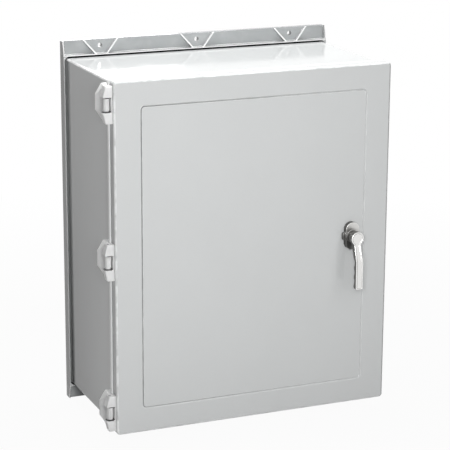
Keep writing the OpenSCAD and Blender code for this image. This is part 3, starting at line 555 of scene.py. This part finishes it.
# %% Bands on the box
box_bands = [
    # Painted shade in the slot between the top or bottom wall and its flange
    band((0.02, 0.02, 0.02), 1.0, -0.0198, -0.0165, -0.0040, Inner_Z=0.3089, Outer_X=0.2583, Outer_Z=0.3123),
    # Painted shade on the flange's end walls, left and right
    band((0.06, 0.062, 0.063), 0.9, -0.0215, -0.0190, -0.0008, Inner_X=0.26015, Even=1.0),
    # Painted shade on the flange's plate between the ribs
    band((0.40, 0.415, 0.42), 1.0, -0.0112, -0.0104, -0.0008, Inner_Z=0.3149),
    # Painted shade on the ribs' sides
    band((0.20, 0.205, 0.21), 0.8, -0.04, -0.03, -0.0008, Inner_Z=0.3149, Off_fronts=1.0),
    # A painted highlight on the ribs' fronts
    band((0.90, 0.90, 0.90), 0.95, -0.0122, -0.0132, 0.1, Inner_Z=0.3123, Off_sides=1.0),
    # A painted highlight on the lip round the door
    band((0.84, 0.85, 0.85), 0.9, -0.2690, -0.2680, -0.2610, Inner_X=0.2601, Inner_Z=0.3141),
    # Painted shade on the sides, darker low at the rear and weaker on the right
    band((0.080, 0.082, 0.083), 0.95, -0.245, -0.02, -0.0205, Inner_X=0.2546, Wiped=0.6, Low=0.85, Even=1.0)]
print("bands on the box", len(box_bands))

# %% Bands on the door
door_bands = [
    # Painted shade in the moulded line, lighter towards the handle side
    band((0.10, 0.103, 0.103), 0.95, -0.2872, -0.2860, -0.2856, Inner_X=0.2085, Inner_Z=0.2660,
         Outer_X=0.2150, Outer_Z=0.2725, Wiped=0.7),
    # Painted shade on the door's left and right sides, lighter towards the handle side
    band((0.20, 0.205, 0.21), 0.45, -0.2845, -0.2825, -0.2, Inner_X=0.2592, Wiped=0.6),
    # The opening edge, soiled by hands
    band((0.20, 0.20, 0.20), 0.7, -0.31, -0.30, -0.2, Inner_X=0.2563, Handled=1.0, Even=1.0)]
print("bands on the door", len(door_bands))

# %% Grey mouldings
coats = {}
# A finish's name is also its slot, except that the two mouldings share one
SLOTS = {"box_moulding": "moulding", "door_moulding": "moulding"}
GREY_SKIN = {"Colour": (0.600, 0.612, 0.612), "Roughness": 0.11, "Clouds": 0.05, "Strands": 0.03}
GREY_BUMP = (0.10, 0.0002)
# The edge colour and its amount are a painted highlight on rounded edges and sloping corners
coats["box_moulding"] = finish("grey box moulding", skin, GREY_SKIN, GREY_BUMP, ((0.90, 0.90, 0.90), 0.9),
                               layers=box_bands, Specular_IOR_Level=0.5)
coats["door_moulding"] = finish("grey door moulding", skin, GREY_SKIN, GREY_BUMP, ((0.90, 0.91, 0.91), 0.85),
                                layers=door_bands, Specular_IOR_Level=0.5)
print("finishes", list(coats))

# %% [markdown]
# ### Hinge plastic, nylon and rubber
# The hinges are a paler plastic that lets a little light in, so part of it is scattered below the skin.
# The rollers are white nylon and the rod guides black nylon, with no glass strands.
# The seals are matt black rubber. The skin group serves for all of them, with other values.

# %% Hinge plastic, nylon and rubber
HINGE_SKIN = {"Colour": (0.94, 0.945, 0.94), "Roughness": 0.36, "Clouds": 0.03, "Strands": 0.0}
WHITE_SKIN = {"Colour": (0.80, 0.80, 0.77), "Roughness": 0.42, "Clouds": 0.04, "Strands": 0.0}
BLACK_SKIN = {"Colour": (0.022, 0.022, 0.024), "Roughness": 0.45, "Clouds": 0.3, "Strands": 0.0}
RUBBER_SKIN = {"Colour": (0.020, 0.020, 0.021), "Roughness": 0.62, "Clouds": 0.4, "Strands": 0.0}
# Painted shade in the gaps above and below each knuckle
knuckle_gap_shade = (knuckle, {"Tint": (0.06, 0.06, 0.06), "Amount": 0.9, "Pin": (-0.2695, -0.276, 0.0),
                          "Reach": 0.0085, "Half pitch": 0.137, "From": 0.0107, "To": 0.0129})
# Each edge colour and amount below is a painted highlight on the rounded edges
coats["hinge_plastic"] = finish(
    "pale hinge plastic", skin, HINGE_SKIN, (0.08, 0.0002), ((0.90, 0.90, 0.90), 0.8), layers=[knuckle_gap_shade],
    Subsurface_Weight=0.6, Subsurface_Scale=0.03, Subsurface_Radius=(1.0, 1.0, 1.0))
coats["white_nylon"] = finish("white nylon", skin, WHITE_SKIN, (0.06, 0.0002), ((0.88, 0.88, 0.86), 0.5))
coats["black_nylon"] = finish("black nylon", skin, BLACK_SKIN, (0.2, 0.0002), ((0.06, 0.06, 0.06), 0.6))
coats["seal_rubber"] = finish("black seal rubber", skin, RUBBER_SKIN, (0.4, 0.0003))
print("finishes", list(coats))

# %% [markdown]
# ### Metals
# The lever and its base are the same plated casting, but the base is duller, with painted shade round the
# neck.
# Pins and axles are drawn steel, brackets and screws are zinc-plated, and the inserts are turned brass.
# A metal's colour is that of its reflections, so all of these are fully metallic.

# %% Metals
LEVER_CAST = {"Colour": (0.83, 0.825, 0.81), "Roughness": 0.30, "Grain": 0.10}
BASE_CAST = {"Colour": (0.64, 0.635, 0.62), "Roughness": 0.34, "Grain": 0.14}
BRASS_CAST = {"Colour": (0.80, 0.58, 0.25), "Roughness": 0.26, "Grain": 0.08}
STEEL_BLOOM = {"Bright": (0.50, 0.50, 0.51), "Dull": (0.38, 0.38, 0.40), "Roughness": 0.24}
ZINC_BLOOM = {"Bright": (0.60, 0.61, 0.64), "Dull": (0.42, 0.43, 0.46), "Roughness": 0.30}
ROLLED_BUMP = (0.08, 0.00005)
# Painted shade on the base round and below the neck
neck_shade_layer = (neck_shade, {"Tint": (0.09, 0.088, 0.085), "Amount": 0.9, "Centre": (0.180, -0.298, -0.008),
                        "Inner": 0.012, "Outer": 0.034})
# The side colours are painted shade on the sides, and the edge colours are painted highlights
coats["handle_metal"] = finish(
    "satin lever plate", cast, LEVER_CAST, (0.12, 0.0001), ((0.92, 0.92, 0.91), 0.4),
    shaded_side_colour=(0.20, 0.197, 0.19), Metallic=1.0)
coats["base_metal"] = finish(
    "satin base plate", cast, BASE_CAST, (0.15, 0.0001), ((0.90, 0.90, 0.89), 0.8),
    shaded_side_colour=(0.15, 0.147, 0.14), layers=[neck_shade_layer], Metallic=1.0)
coats["steel"] = finish(
    "drawn steel", bloom, STEEL_BLOOM, ROLLED_BUMP, ((0.70, 0.70, 0.70), 0.5), Metallic=1.0)
coats["plated_steel"] = finish(
    "zinc plated steel", bloom, ZINC_BLOOM, ROLLED_BUMP, ((0.80, 0.80, 0.81), 0.6), Metallic=1.0)
coats["brass"] = finish(
    "turned brass", cast, BRASS_CAST, (0.08, 0.0001), ((0.90, 0.74, 0.42), 0.6), Metallic=1.0)
print("finishes", len(coats), "and the floor's")

# %% [markdown]
# ## Pieces whose edges are rounded
# A CAD solid has knife-sharp edges, and no moulded, cast or bent part has. Each main solid could be modelled
# again with soft edges, but the copy would drift from the CAD. Instead a copy of it is merged,
# its flat triangles are joined into whole faces, and a Bevel rounds each sharp edge.
# A Weighted Normal keeps the flats nearly flat. Faces that are wide, or square to the axes, are then made
# exactly flat, so light runs along the edges as it does on the real box.
# While the modifiers run, material numbers tell the rounded strips and the floors of recesses from the rest.
# Two attributes on the faces keep this for the finishes.

# %% Finished pieces
def plain_mesh(made):
    graph = bpy.context.evaluated_depsgraph_get()
    mesh = bpy.data.meshes.new_from_object(made.evaluated_get(graph))
    old = made.data
    made.modifiers.clear()
    made.data = mesh
    mesh.name = made.name
    if old.users == 0:
        bpy.data.meshes.remove(old)
    return mesh


def settle(made, node):
    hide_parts(node)
    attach(made, nodes[node]["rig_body"])
    return made


print("plain_mesh and settle ready")

# %% Corners, floors of recesses, and flat faces
# The moulded line lies inside this half width and half height, and its slopes aren't corners
LINE_REACH = (0.2160, 0.2735)
SQUARE = 0.95
# A recess's floor is bounded mostly by edges that fold inwards by more than this, in radians
INWARD = -0.5
RECESS_EDGES = 0.6
FLAT_WIDTH = 0.004
FLAT_SQUARE = 0.99999


def squareness(normal):
    return max(abs(part) for part in normal)


# A moulding's corner faces also get the painted edge highlight
def is_corner(face):
    inside_line = abs(face.center.x) < LINE_REACH[0] and abs(face.center.z) < LINE_REACH[1]
    return squareness(face.normal) < SQUARE and not inside_line


def is_recess(face):
    lengths = [(edge.calc_length(), edge.calc_face_angle_signed(0.0)) for edge in face.edges]
    inward = sum(length for length, turn in lengths if turn < INWARD)
    return inward > RECESS_EDGES * sum(length for length, _ in lengths)


def flatten(mesh):
    normals = [corner.vector.copy() for corner in mesh.corner_normals]
    for face in mesh.polygons:
        corners = [mesh.vertices[i].co for i in face.vertices]
        longest = max((corner - corners[0]).length for corner in corners)
        if face.area > FLAT_WIDTH * longest or squareness(face.normal) > FLAT_SQUARE:
            for i in face.loop_indices:
                normals[i] = face.normal.copy()
    mesh.normals_split_custom_set(normals)


print("corners, floors and flats ready")

# %% A merged copy, and marks on its faces
MERGE = 2e-6
COPLANAR = math.radians(0.5)
REST, STRIP, RECESS = range(3)
# Recess floors count a little less as front, so the side colour gives them a little painted shade
RECESS_SHARE = 0.90
FRONT_FROM, FRONT_SPAN = 0.30, 0.40


def merged_copy(node, coat):
    bm = bmesh.new()
    bm.from_mesh(nodes[node].data)
    bmesh.ops.remove_doubles(bm, verts=bm.verts, dist=MERGE)
    bmesh.ops.dissolve_limit(bm, angle_limit=COPLANAR, verts=bm.verts, edges=bm.edges)
    for face in bm.faces:
        face.material_index = RECESS if is_recess(face) else REST
    mesh = bpy.data.meshes.new(node + "_rounded")
    bm.to_mesh(mesh)
    bm.free()
    for _ in (REST, STRIP, RECESS):
        mesh.materials.append(coats[coat])
    mesh.shade_smooth()
    made = bpy.data.objects.new(node + "_rounded", mesh)
    scene.collection.objects.link(made)
    return made


def mark_faces(mesh, corners_too):
    strips, fronts = [], []
    for face in mesh.polygons:
        strips.append(float(face.material_index == STRIP or (corners_too and is_corner(face))))
        facing = min(max((-face.normal.y - FRONT_FROM) / FRONT_SPAN, 0.0), 1.0)
        fronts.append(facing * (RECESS_SHARE if face.material_index == RECESS else 1.0))
    mesh.attributes.new("soft_edge", "FLOAT", "FACE").data.foreach_set("value", strips)
    mesh.attributes.new("front_face", "FLOAT", "FACE").data.foreach_set("value", fronts)
    mesh.polygons.foreach_set("material_index", [REST] * len(strips))
    for _ in (STRIP, RECESS):
        mesh.materials.pop(index=1)


print("merged_copy and mark_faces ready")

# %% Rounding a copy of a CAD piece
SHARP = math.radians(33.0)
FLATS_WEIGHT = 90


def rounded(node, width, steps, coat):
    made = merged_copy(node, coat)
    edge = made.modifiers.new("edges", "BEVEL")
    edge.width, edge.segments = width * MM, steps
    edge.limit_method, edge.angle_limit = "ANGLE", SHARP
    edge.use_clamp_overlap = False
    edge.material = STRIP
    flats = made.modifiers.new("flats", "WEIGHTED_NORMAL")
    flats.weight, flats.keep_sharp = FLATS_WEIGHT, True
    mesh = plain_mesh(made)
    flatten(mesh)
    slot = SLOTS.get(coat, coat)
    mark_faces(mesh, slot == "moulding")
    return settle(made, node)


print("rounding ready")

# %% Round the moulded, cast and bent pieces
LEVELS = ("top", "middle", "bottom")
# Each row: the CAD piece, the width of its rounding in mm, the steps across it, and the finish
round_list = [("enclosure_body", 0.8, 2, "box_moulding"), ("door", 0.4, 2, "door_moulding"),
              ("handle_base", 0.8, 3, "base_metal"), ("handle_lever", 0.9, 3, "handle_metal")]
for level in LEVELS:
    round_list += [(f"hinge_{leaf}_leaf_{level}", 0.7, 3, "hinge_plastic") for leaf in ("body", "door")]
for side in ("upper", "lower"):
    round_list += [(f"{side}_rod", 0.5, 2, "plated_steel"), (f"{side}_keeper", 0.5, 2, "plated_steel"),
                   (f"{side}_roller", 0.7, 3, "white_nylon"), (f"{side}_rod_guide", 0.6, 2, "black_nylon"),
                   (f"{side}_roller_axle", 0.3, 2, "steel")]
round_list += [("centre_keeper", 0.5, 2, "plated_steel"), ("latch_cam", 0.4, 2, "plated_steel"),
               ("handle_spindle", 0.4, 2, "steel"), ("cam_pins", 0.4, 2, "steel"),
               ("cam_washer", 0.25, 2, "plated_steel"), ("handle_base_gasket", 0.4, 2, "seal_rubber"),
               ("spindle_seal", 0.4, 2, "seal_rubber")]
round_list += [(f"hinge_pin_{level}", 0.5, 3, "steel") for level in LEVELS]
for row in round_list:
    made = rounded(*row)
    print(made.name, len(made.data.polygons), "faces")

# %% [markdown]
# ## Screws
# The real screws are plated steel with a cross recess and a rolled thread, and they repeat all over the box.
# Each could be modelled by hand, but then a change of size would mean modelling it again,
# so one Geometry Nodes tree makes any of them from its sizes. A flat grid is rolled round the axis
# to turn the head, two crossed blocks cut its recess, and the shank's points are pushed in
# along a helix to form the thread.
# Each screw is then set on a point and turned to its own chance angle, as a screwdriver leaves it.

# %% Tree parts: turned shapes
CLOSE = 1e-6


def axes(tree, x=0.0, y=0.0, z=0.0):
    return add(tree, "ShaderNodeCombineXYZ", {0: x, 1: y, 2: z}).outputs[0]


def position(tree):
    return split(tree, add(tree, "GeometryNodeInputPosition").outputs[0])


def picked(tree, index, points):
    # An Index Switch starts with two items
    made = add(tree, "GeometryNodeIndexSwitch", data_type="VECTOR")
    for _ in points[2:]:
        made.index_switch_items.new()
    join(tree, (index, made.inputs["Index"]))
    join(tree, *((point, made.inputs[1 + i]) for i, point in enumerate(points)))
    return made.outputs[0]


def turned(tree, profile, parts):
    last = len(profile) - 1
    grid = add(tree, "GeometryNodeMeshGrid", {"Size X": float(last), "Size Y": float(parts),
                                              "Vertices X": last + 1, "Vertices Y": parts + 1})
    along, around, _ = position(tree)
    step = sums(tree, "ROUND", sums(tree, "ADD", along, last / 2))
    angle = product(tree, around, 2 * math.pi / parts)
    points = [axes(tree, radius, 0.0, height) for radius, height in profile]
    radius, _, height = split(tree, picked(tree, step, points))
    rolled = axes(tree, product(tree, radius, sums(tree, "COSINE", angle)),
                  product(tree, radius, sums(tree, "SINE", angle)), height)
    place = add(tree, "GeometryNodeSetPosition", {"Geometry": grid.outputs["Mesh"], "Position": rolled})
    merged = add(tree, "GeometryNodeMergeByDistance", {"Geometry": place.outputs[0], "Distance": CLOSE})
    return merged.outputs[0]


print("turning ready")

# %% Tree parts: threads
RINGS_PER_TURN = 4.0


def threaded(tree, rod, radius, depth, pitch):
    x, y, z = position(tree)
    turn = sums(tree, "DIVIDE", sums(tree, "ARCTAN2", y, x), 2 * math.pi)
    climb = sums(tree, "FRACT", sums(tree, "SUBTRACT", sums(tree, "DIVIDE", z, pitch), turn))
    flank = sums(tree, "ABSOLUTE", sums(tree, "SUBTRACT", product(tree, climb, 2.0), 1.0))
    share = rest_of(tree, sums(tree, "DIVIDE", product(tree, flank, depth), radius))
    pushed = axes(tree, product(tree, x, share), product(tree, y, share), z)
    return add(tree, "GeometryNodeSetPosition", {"Geometry": rod, "Position": pushed}).outputs[0]


def threaded_rod(tree, sizes, radius, sides, depth, **caps):
    length, pitch = sizes["Length"], sizes["Pitch"]
    rings = sums(tree, "CEIL", product(tree, sums(tree, "DIVIDE", length, pitch), RINGS_PER_TURN))
    rod = add(tree, "GeometryNodeMeshCylinder",
              {"Vertices": sides, "Side Segments": rings, "Radius": radius, "Depth": length}, **caps)
    middle = axes(tree, 0.0, 0.0, product(tree, length, -0.5))
    sunk = add(tree, "GeometryNodeTransform", {"Geometry": rod.outputs["Mesh"], "Translation": middle})
    return threaded(tree, sunk.outputs[0], radius, product(tree, pitch, depth), pitch)


print("threading ready")

# %% Tree parts: setting on points
CREASE = 0.6


def set_round(tree, shape, given, result):
    aim = add(tree, "GeometryNodeInputNamedAttribute", {"Name": "aim"}, data_type="FLOAT_VECTOR")
    align = add(tree, "FunctionNodeAlignRotationToVector", {"Vector": aim.outputs["Attribute"]}, axis="Z")
    chance = {"Max": 2 * math.pi, "Seed": given["Seed"]}
    spin = add(tree, "FunctionNodeRandomValue", chance, data_type="FLOAT")
    about = add(tree, "FunctionNodeAxisAngleToRotation", {"Axis": (0, 0, 1), "Angle": spin.outputs["Value"]})
    turn = add(tree, "FunctionNodeRotateRotation",
               {"Rotation": align.outputs[0], "Rotate By": about.outputs[0]}, rotation_space="LOCAL")
    each = add(tree, "GeometryNodeInstanceOnPoints",
               {"Points": given["Points"], "Instance": shape, "Rotation": turn.outputs[0]})
    solid = add(tree, "GeometryNodeRealizeInstances", {0: each.outputs[0]})
    angle = add(tree, "GeometryNodeInputMeshEdgeAngle").outputs["Unsigned Angle"]
    creased = {"Selection": sums(tree, "GREATER_THAN", angle, CREASE), "Shade Smooth": False}
    sharp = add(tree, "GeometryNodeSetShadeSmooth", {"Geometry": solid.outputs[0], **creased}, domain="EDGE")
    coat = add(tree, "GeometryNodeSetMaterial", {"Geometry": sharp.outputs[0], "Material": given["Finish"]})
    join(tree, (coat.outputs[0], result[0]))


print("setting ready")

# %% Geometry Nodes tree: screw
HEAD_SIDES, SHANK_SIDES = 28, 16
HEAD_CURVE = ((1.0, 0.3), (0.94, 0.66), (0.80, 0.92), (0.6, 1.0))
CROSS = (2.0, 0.36, 1.3)
THREAD_DEPTH = 0.45
screw, given, result = new_group(
    "screw",
    {"Points": "Geometry", "Head radius": 0.0038, "Crown": 0.0024, "Under radius": 0.0037, "Under": 0.0,
     "Shank radius": 0.002, "Length": 0.012, "Pitch": 0.0008, "Recess": 0.0022, "Finish": "Material",
     "Seed": 1},
    {"Geometry": "Geometry"}, "GeometryNodeTree")
wide, crown, under = given["Head radius"], given["Crown"], given["Under"]
profile = [(0.0, under), (given["Under radius"], under), (wide, 0.0)]
profile += [(product(screw, wide, out), product(screw, crown, up)) for out, up in HEAD_CURVE]
profile.append((0.0, crown))
crossed = add(screw, "GeometryNodeMeshBoolean", {"Mesh 1": turned(screw, profile, HEAD_SIDES)},
              operation="DIFFERENCE", solver="EXACT")
for turn in (0.0, math.pi / 2):
    size = axes(screw, *(product(screw, given["Recess"], share) for share in CROSS))
    block = add(screw, "GeometryNodeMeshCube", {"Size": size}).outputs["Mesh"]
    moved = {"Translation": axes(screw, 0.0, 0.0, crown), "Rotation": (0.0, 0.0, turn)}
    sink = add(screw, "GeometryNodeTransform", {"Geometry": block, **moved})
    join(screw, (sink.outputs[0], crossed.inputs["Mesh 2"]))
whole = add(screw, "GeometryNodeJoinGeometry")
shank = threaded_rod(screw, given, given["Shank radius"], SHANK_SIDES, THREAD_DEPTH)
join(screw, (crossed.outputs[0], whole.inputs[0]), (shank, whole.inputs[0]))
set_round(screw, whole.outputs[0], given, result)
print("tree", screw.name, len(screw.nodes), "nodes")

# %% Setting a piece's screws
def run_tree(made, tree, sizes, coat, **more):
    scene.collection.objects.link(made)
    tool = made.modifiers.new(tree.name, "NODES")
    tool.node_group = tree
    sockets = {item.name: item.identifier for item in tree.interface.items_tree if item.in_out == "INPUT"}
    values = {name: size * MM for name, size in sizes.items()}
    for name, value in {**values, "Finish": coats[coat], **more}.items():
        tool[sockets[name]] = value
    return plain_mesh(made)


def set_out(node, tree, places, sizes, coat, seed):
    mesh = bpy.data.meshes.new(node + "_set")
    mesh.from_pydata([tuple(v * MM for v in at) for at, _ in places], [], [])
    aims = [v for _, aim in places for v in aim]
    mesh.attributes.new("aim", "FLOAT_VECTOR", "POINT").data.foreach_set("vector", aims)
    made = bpy.data.objects.new(node + "_set", mesh)
    run_tree(made, tree, sizes, coat, Seed=seed)
    print(made.name, len(places), "set,", len(made.data.polygons), "faces")
    return settle(made, node)


print("run_tree and set_out ready")

# %% Screws of the hinges
# A head points the way it is aimed. Places and sizes are in mm
RIGHT, LEFT = (1, 0, 0), (-1, 0, 0)
BACK, FRONT = (0, 1, 0), (0, -1, 0)
UP, DOWN = (0, 0, 1), (0, 0, -1)
HINGES = (274.0, 0.0, -274.0)
BODY_LEAF_AT, BODY_LEAF_STEPS = (-250.5, -249.36), (20, -20)
DOOR_LEAF_AT, DOOR_LEAF_STEPS = (-256.0, -275.75), (26, -26)
small = {"Head radius": 3.8, "Crown": 2.4, "Under radius": 3.7, "Under": 0.0, "Shank radius": 2.0,
         "Pitch": 0.9, "Recess": 2.1}
sunk = {"Head radius": 4.0, "Crown": 0.0, "Under radius": 2.0, "Under": -2.0, "Shank radius": 2.0,
        "Pitch": 0.9, "Recess": 2.2}
places = [((*BODY_LEAF_AT, z + step), RIGHT) for z in HINGES for step in BODY_LEAF_STEPS]
set_out("hinge_body_screws", screw, places, {**small, "Length": 14.5}, "plated_steel", 3)
places = [((*DOOR_LEAF_AT, z + step), RIGHT) for z in HINGES for step in DOOR_LEAF_STEPS]
set_out("hinge_door_screws", screw, places, {**sunk, "Length": 9.0}, "plated_steel", 5)

# %% Screws of the latch, guides and handle
KEEPER_Y, GUIDE_Y, HANDLE_X = -248.2, -274.5, 185.5
keepers = [((x, KEEPER_Y, -296.5), UP) for x in (210.57, 194.57)]
keepers += [((x, KEEPER_Y, 296.5), DOWN) for x in (160.43, 176.43)]
keepers += [((242.5, KEEPER_Y, z), LEFT) for z in (-2.5, 13.5)]
set_out("keeper_screws", screw, keepers, {**small, "Length": 9.0}, "plated_steel", 8)
places = [((HANDLE_X, -283.5, z), BACK) for z in (-12.5, 23.5)]
set_out("handle_base_screws", screw, places, {**small, "Crown": 3.0, "Length": 11.5}, "plated_steel", 2)
guides = [((x, GUIDE_Y, -184.5), BACK) for x in (221.57, 183.57)]
guides += [((x, GUIDE_Y, 195.5), BACK) for x in (149.43, 187.43)]
set_out("rod_guide_screws", screw, guides, {**small, "Length": 10.0}, "plated_steel", 4)
large = {**small, "Head radius": 5.6, "Under radius": 5.5, "Shank radius": 2.5, "Recess": 3.0}
set_out("cam_screw", screw, [((HANDLE_X, -261.6, 5.5), BACK)], {**large, "Length": 12.0}, "plated_steel", 6)

# %% [markdown]
# ## Brass inserts
# Four brass inserts are pressed into the bosses at the back, and an inner panel is screwed to them.
# They repeat, so they use the same turning and threading steps as the screws.
# The thread is inside here, so the threaded tube has its faces turned towards the axis.

# %% Geometry Nodes tree: insert
RING_SIDES, TUBE_SIDES = 32, 20
INNER_DEPTH = 0.4
WAIST_AT = -0.45
insert, given, result = new_group(
    "insert",
    {"Points": "Geometry", "Radius": 0.004, "Bore": 0.0024, "Length": 0.014, "Pitch": 0.001,
     "Finish": "Material", "Seed": 1},
    {"Geometry": "Geometry"}, "GeometryNodeTree")


def beside(socket, extra):
    return sums(insert, "ADD", socket, extra * MM)


bore, wall = given["Bore"], given["Radius"]
deep = product(insert, given["Length"], -1.0)
waist = product(insert, given["Length"], WAIST_AT)
neck, root = beside(wall, -0.5), beside(bore, 0.3)
profile = [(beside(bore, 0.1), -0.45 * MM), (beside(bore, 0.5), 0.0), (beside(wall, -0.4), 0.0),
           (wall, -0.4 * MM), (wall, beside(waist, 1.0)), (neck, beside(waist, 0.6)),
           (neck, beside(waist, -0.6)), (wall, beside(waist, -1.0)), (wall, beside(deep, 0.5)),
           (neck, deep), (root, deep)]
tube = threaded_rod(insert, given, root, TUBE_SIDES, INNER_DEPTH, fill_type="NONE")
inward = add(insert, "GeometryNodeFlipFaces", {0: tube})
whole = add(insert, "GeometryNodeJoinGeometry")
join(insert, (turned(insert, profile, RING_SIDES), whole.inputs[0]), (inward.outputs[0], whole.inputs[0]))
set_round(insert, whole.outputs[0], given, result)
sizes = {"Radius": 4.0, "Bore": 2.4, "Length": 14.0, "Pitch": 1.0}
places = [((x, -26.5, z), FRONT) for x in (-216, 216) for z in (-270, 270)]
set_out("panel_inserts", insert, places, sizes, "brass", 7)

# %% [markdown]
# ## The door's foam seal
# The seal is a bead of soft foam that is poured into the door and skins over as it cures.
# It follows the door all round. A curve with a plain bevel would give a round cord,
# so a path is swept with the bead's own section instead: flat on the door, full at the shoulders
# and pressed in along the middle, where the box's rim has closed on it.

# %% Geometry Nodes tree: foam bead
# One half of the section, from the door to the middle: shares of width, height and dent
HALF_SECTION = [(-0.5, 0.0, 0), (-0.5, 0.45, 0), (-0.47, 0.66, 0), (-0.40, 0.83, 0), (-0.29, 0.95, 0),
                (-0.18, 1.0, 0), (-0.09, 1.0, -0.7)]
section = HALF_SECTION + [(0.0, 1.0, -1)] + [(-out, up, dent) for out, up, dent in reversed(HALF_SECTION)]
bead, given, result = new_group(
    "foam bead", {"Path": "Geometry", "Width": 0.01, "Height": 0.0067, "Dent": 0.0008, "Finish": "Material"},
    {"Geometry": "Geometry"}, "GeometryNodeTree")
points = []
for out, up, dent in reversed(section):
    raised = sums(bead, "ADD", product(bead, given["Height"], up), product(bead, given["Dent"], dent))
    points.append(axes(bead, product(bead, given["Width"], out), raised))
strip = add(bead, "GeometryNodeMeshLine", {"Count": len(section)}, mode="OFFSET")
index = add(bead, "GeometryNodeInputIndex").outputs[0]
shape = add(bead, "GeometryNodeSetPosition",
            {"Geometry": strip.outputs[0], "Position": picked(bead, index, points)})
outline = add(bead, "GeometryNodeMeshToCurve", {0: shape.outputs[0]})
closed = add(bead, "GeometryNodeSetSplineCyclic", {"Geometry": outline.outputs[0], "Cyclic": True})
path = add(bead, "GeometryNodeMeshToCurve", {0: given["Path"]})
level = add(bead, "GeometryNodeSetCurveNormal", {"Curve": path.outputs[0]}, mode="Z_UP")
swept = add(bead, "GeometryNodeCurveToMesh", {"Curve": level.outputs[0], "Profile Curve": closed.outputs[0]})
upright = (math.pi / 2, 0.0, 0.0)
stand = add(bead, "GeometryNodeTransform", {"Geometry": swept.outputs[0], "Rotation": upright})
solid = add(bead, "GeometryNodeRealizeInstances", {0: stand.outputs[0]})
coat = add(bead, "GeometryNodeSetMaterial", {"Geometry": solid.outputs[0], "Material": given["Finish"]})
join(bead, (coat.outputs[0], result[0]))
print("tree", bead.name, len(bead.nodes), "nodes")

# %% Sweep the seal
CORNER_STEPS = 8
SEAL_PATH = {"width": 502, "height": 610, "radius": 6, "level": 283.5}


def round_path(width, height, radius, level):
    points = []
    for sx, sy, start in ((1, 1, 0), (-1, 1, 90), (-1, -1, 180), (1, -1, 270)):
        for k in range(CORNER_STEPS + 1):
            a = math.radians(start + 90 * k / CORNER_STEPS)
            points.append(((sx * (width / 2 - radius) + radius * math.cos(a)) * MM,
                           (sy * (height / 2 - radius) + radius * math.sin(a)) * MM, level * MM))
    return points


points = round_path(**SEAL_PATH)
mesh = bpy.data.meshes.new("door_gasket_swept")
mesh.from_pydata(points, [(i, (i + 1) % len(points)) for i in range(len(points))], [])
seal = bpy.data.objects.new("door_gasket_swept", mesh)
run_tree(seal, bead, {"Width": 10.0, "Height": 6.7, "Dent": 0.8}, "seal_rubber")
seal.data.shade_smooth()
settle(seal, "door_gasket")
low, high = ([f(v.co[i] for v in seal.data.vertices) for i in range(3)] for f in (min, max))

# %% [markdown]
# ## Clips on the cam's pins
# Each rod is held on its pin by an E-shaped spring clip, stamped from sheet. It could be cut out of a disc,
# but its outline is easy to draw as one ring with a mouth and three prongs. It is then given
# the sheet's thickness. There are only two, so they are made without a tree.

# %% Spring clips
CLIP_R, PRONG_R, RELIEF_R = 5.5, 3.02, 4.3
SHEET, CLIP_EDGE, CLIP_TURN = 1.0, 0.12, 1.0
RIM_STEP, INNER_STEP = 10, 8
MOUTH = 35
# The inside of the ring: from one angle to another, at a radius. The mouth opens at angle 0
INSIDE = ((360 - MOUTH, 303, PRONG_R), (303, 196, RELIEF_R), (196, 164, PRONG_R), (164, 57, RELIEF_R),
          (57, MOUTH, PRONG_R))
# Each clip's place in mm, and the angle of its mouth
CLIPS = (((171.36, -257.8, -8.64), 225), ((199.64, -257.8, 19.64), 45))


def clip(bm, at, mouth):
    ring = [(CLIP_R, angle) for angle in range(MOUTH, 361 - MOUTH, RIM_STEP)]
    for start, end, radius in INSIDE:
        count = max(2, abs(end - start) // INNER_STEP)
        ring += [(radius, start + (end - start) * k / count) for k in range(count + 1)]
    loop = []
    for radius, angle in ring:
        a = math.radians(angle + mouth)
        spot = (at[0] + radius * math.cos(a), at[1], at[2] + radius * math.sin(a))
        loop.append(bm.verts.new([v * MM for v in spot]))
    face = bm.faces.new(loop)
    for element in bmesh.ops.extrude_face_region(bm, geom=[face])["geom"]:
        if isinstance(element, bmesh.types.BMVert):
            element.co.y += SHEET * MM


bm = bmesh.new()
for at, mouth in CLIPS:
    clip(bm, at, mouth)
bmesh.ops.remove_doubles(bm, verts=bm.verts, dist=CLOSE)
bmesh.ops.recalc_face_normals(bm, faces=bm.faces)
rims = [edge for edge in bm.edges if edge.calc_face_angle(0) > CLIP_TURN]
bmesh.ops.bevel(bm, geom=rims, offset=CLIP_EDGE * MM, segments=1, affect="EDGES")
mesh = bpy.data.meshes.new("cam_pin_clips_cut")
bm.to_mesh(mesh)
bm.free()
mesh.materials.append(coats["plated_steel"])
clips = bpy.data.objects.new("cam_pin_clips_cut", mesh)
scene.collection.objects.link(clips)
settle(clips, "cam_pin_clips")
print("clips", len(mesh.polygons), "faces")
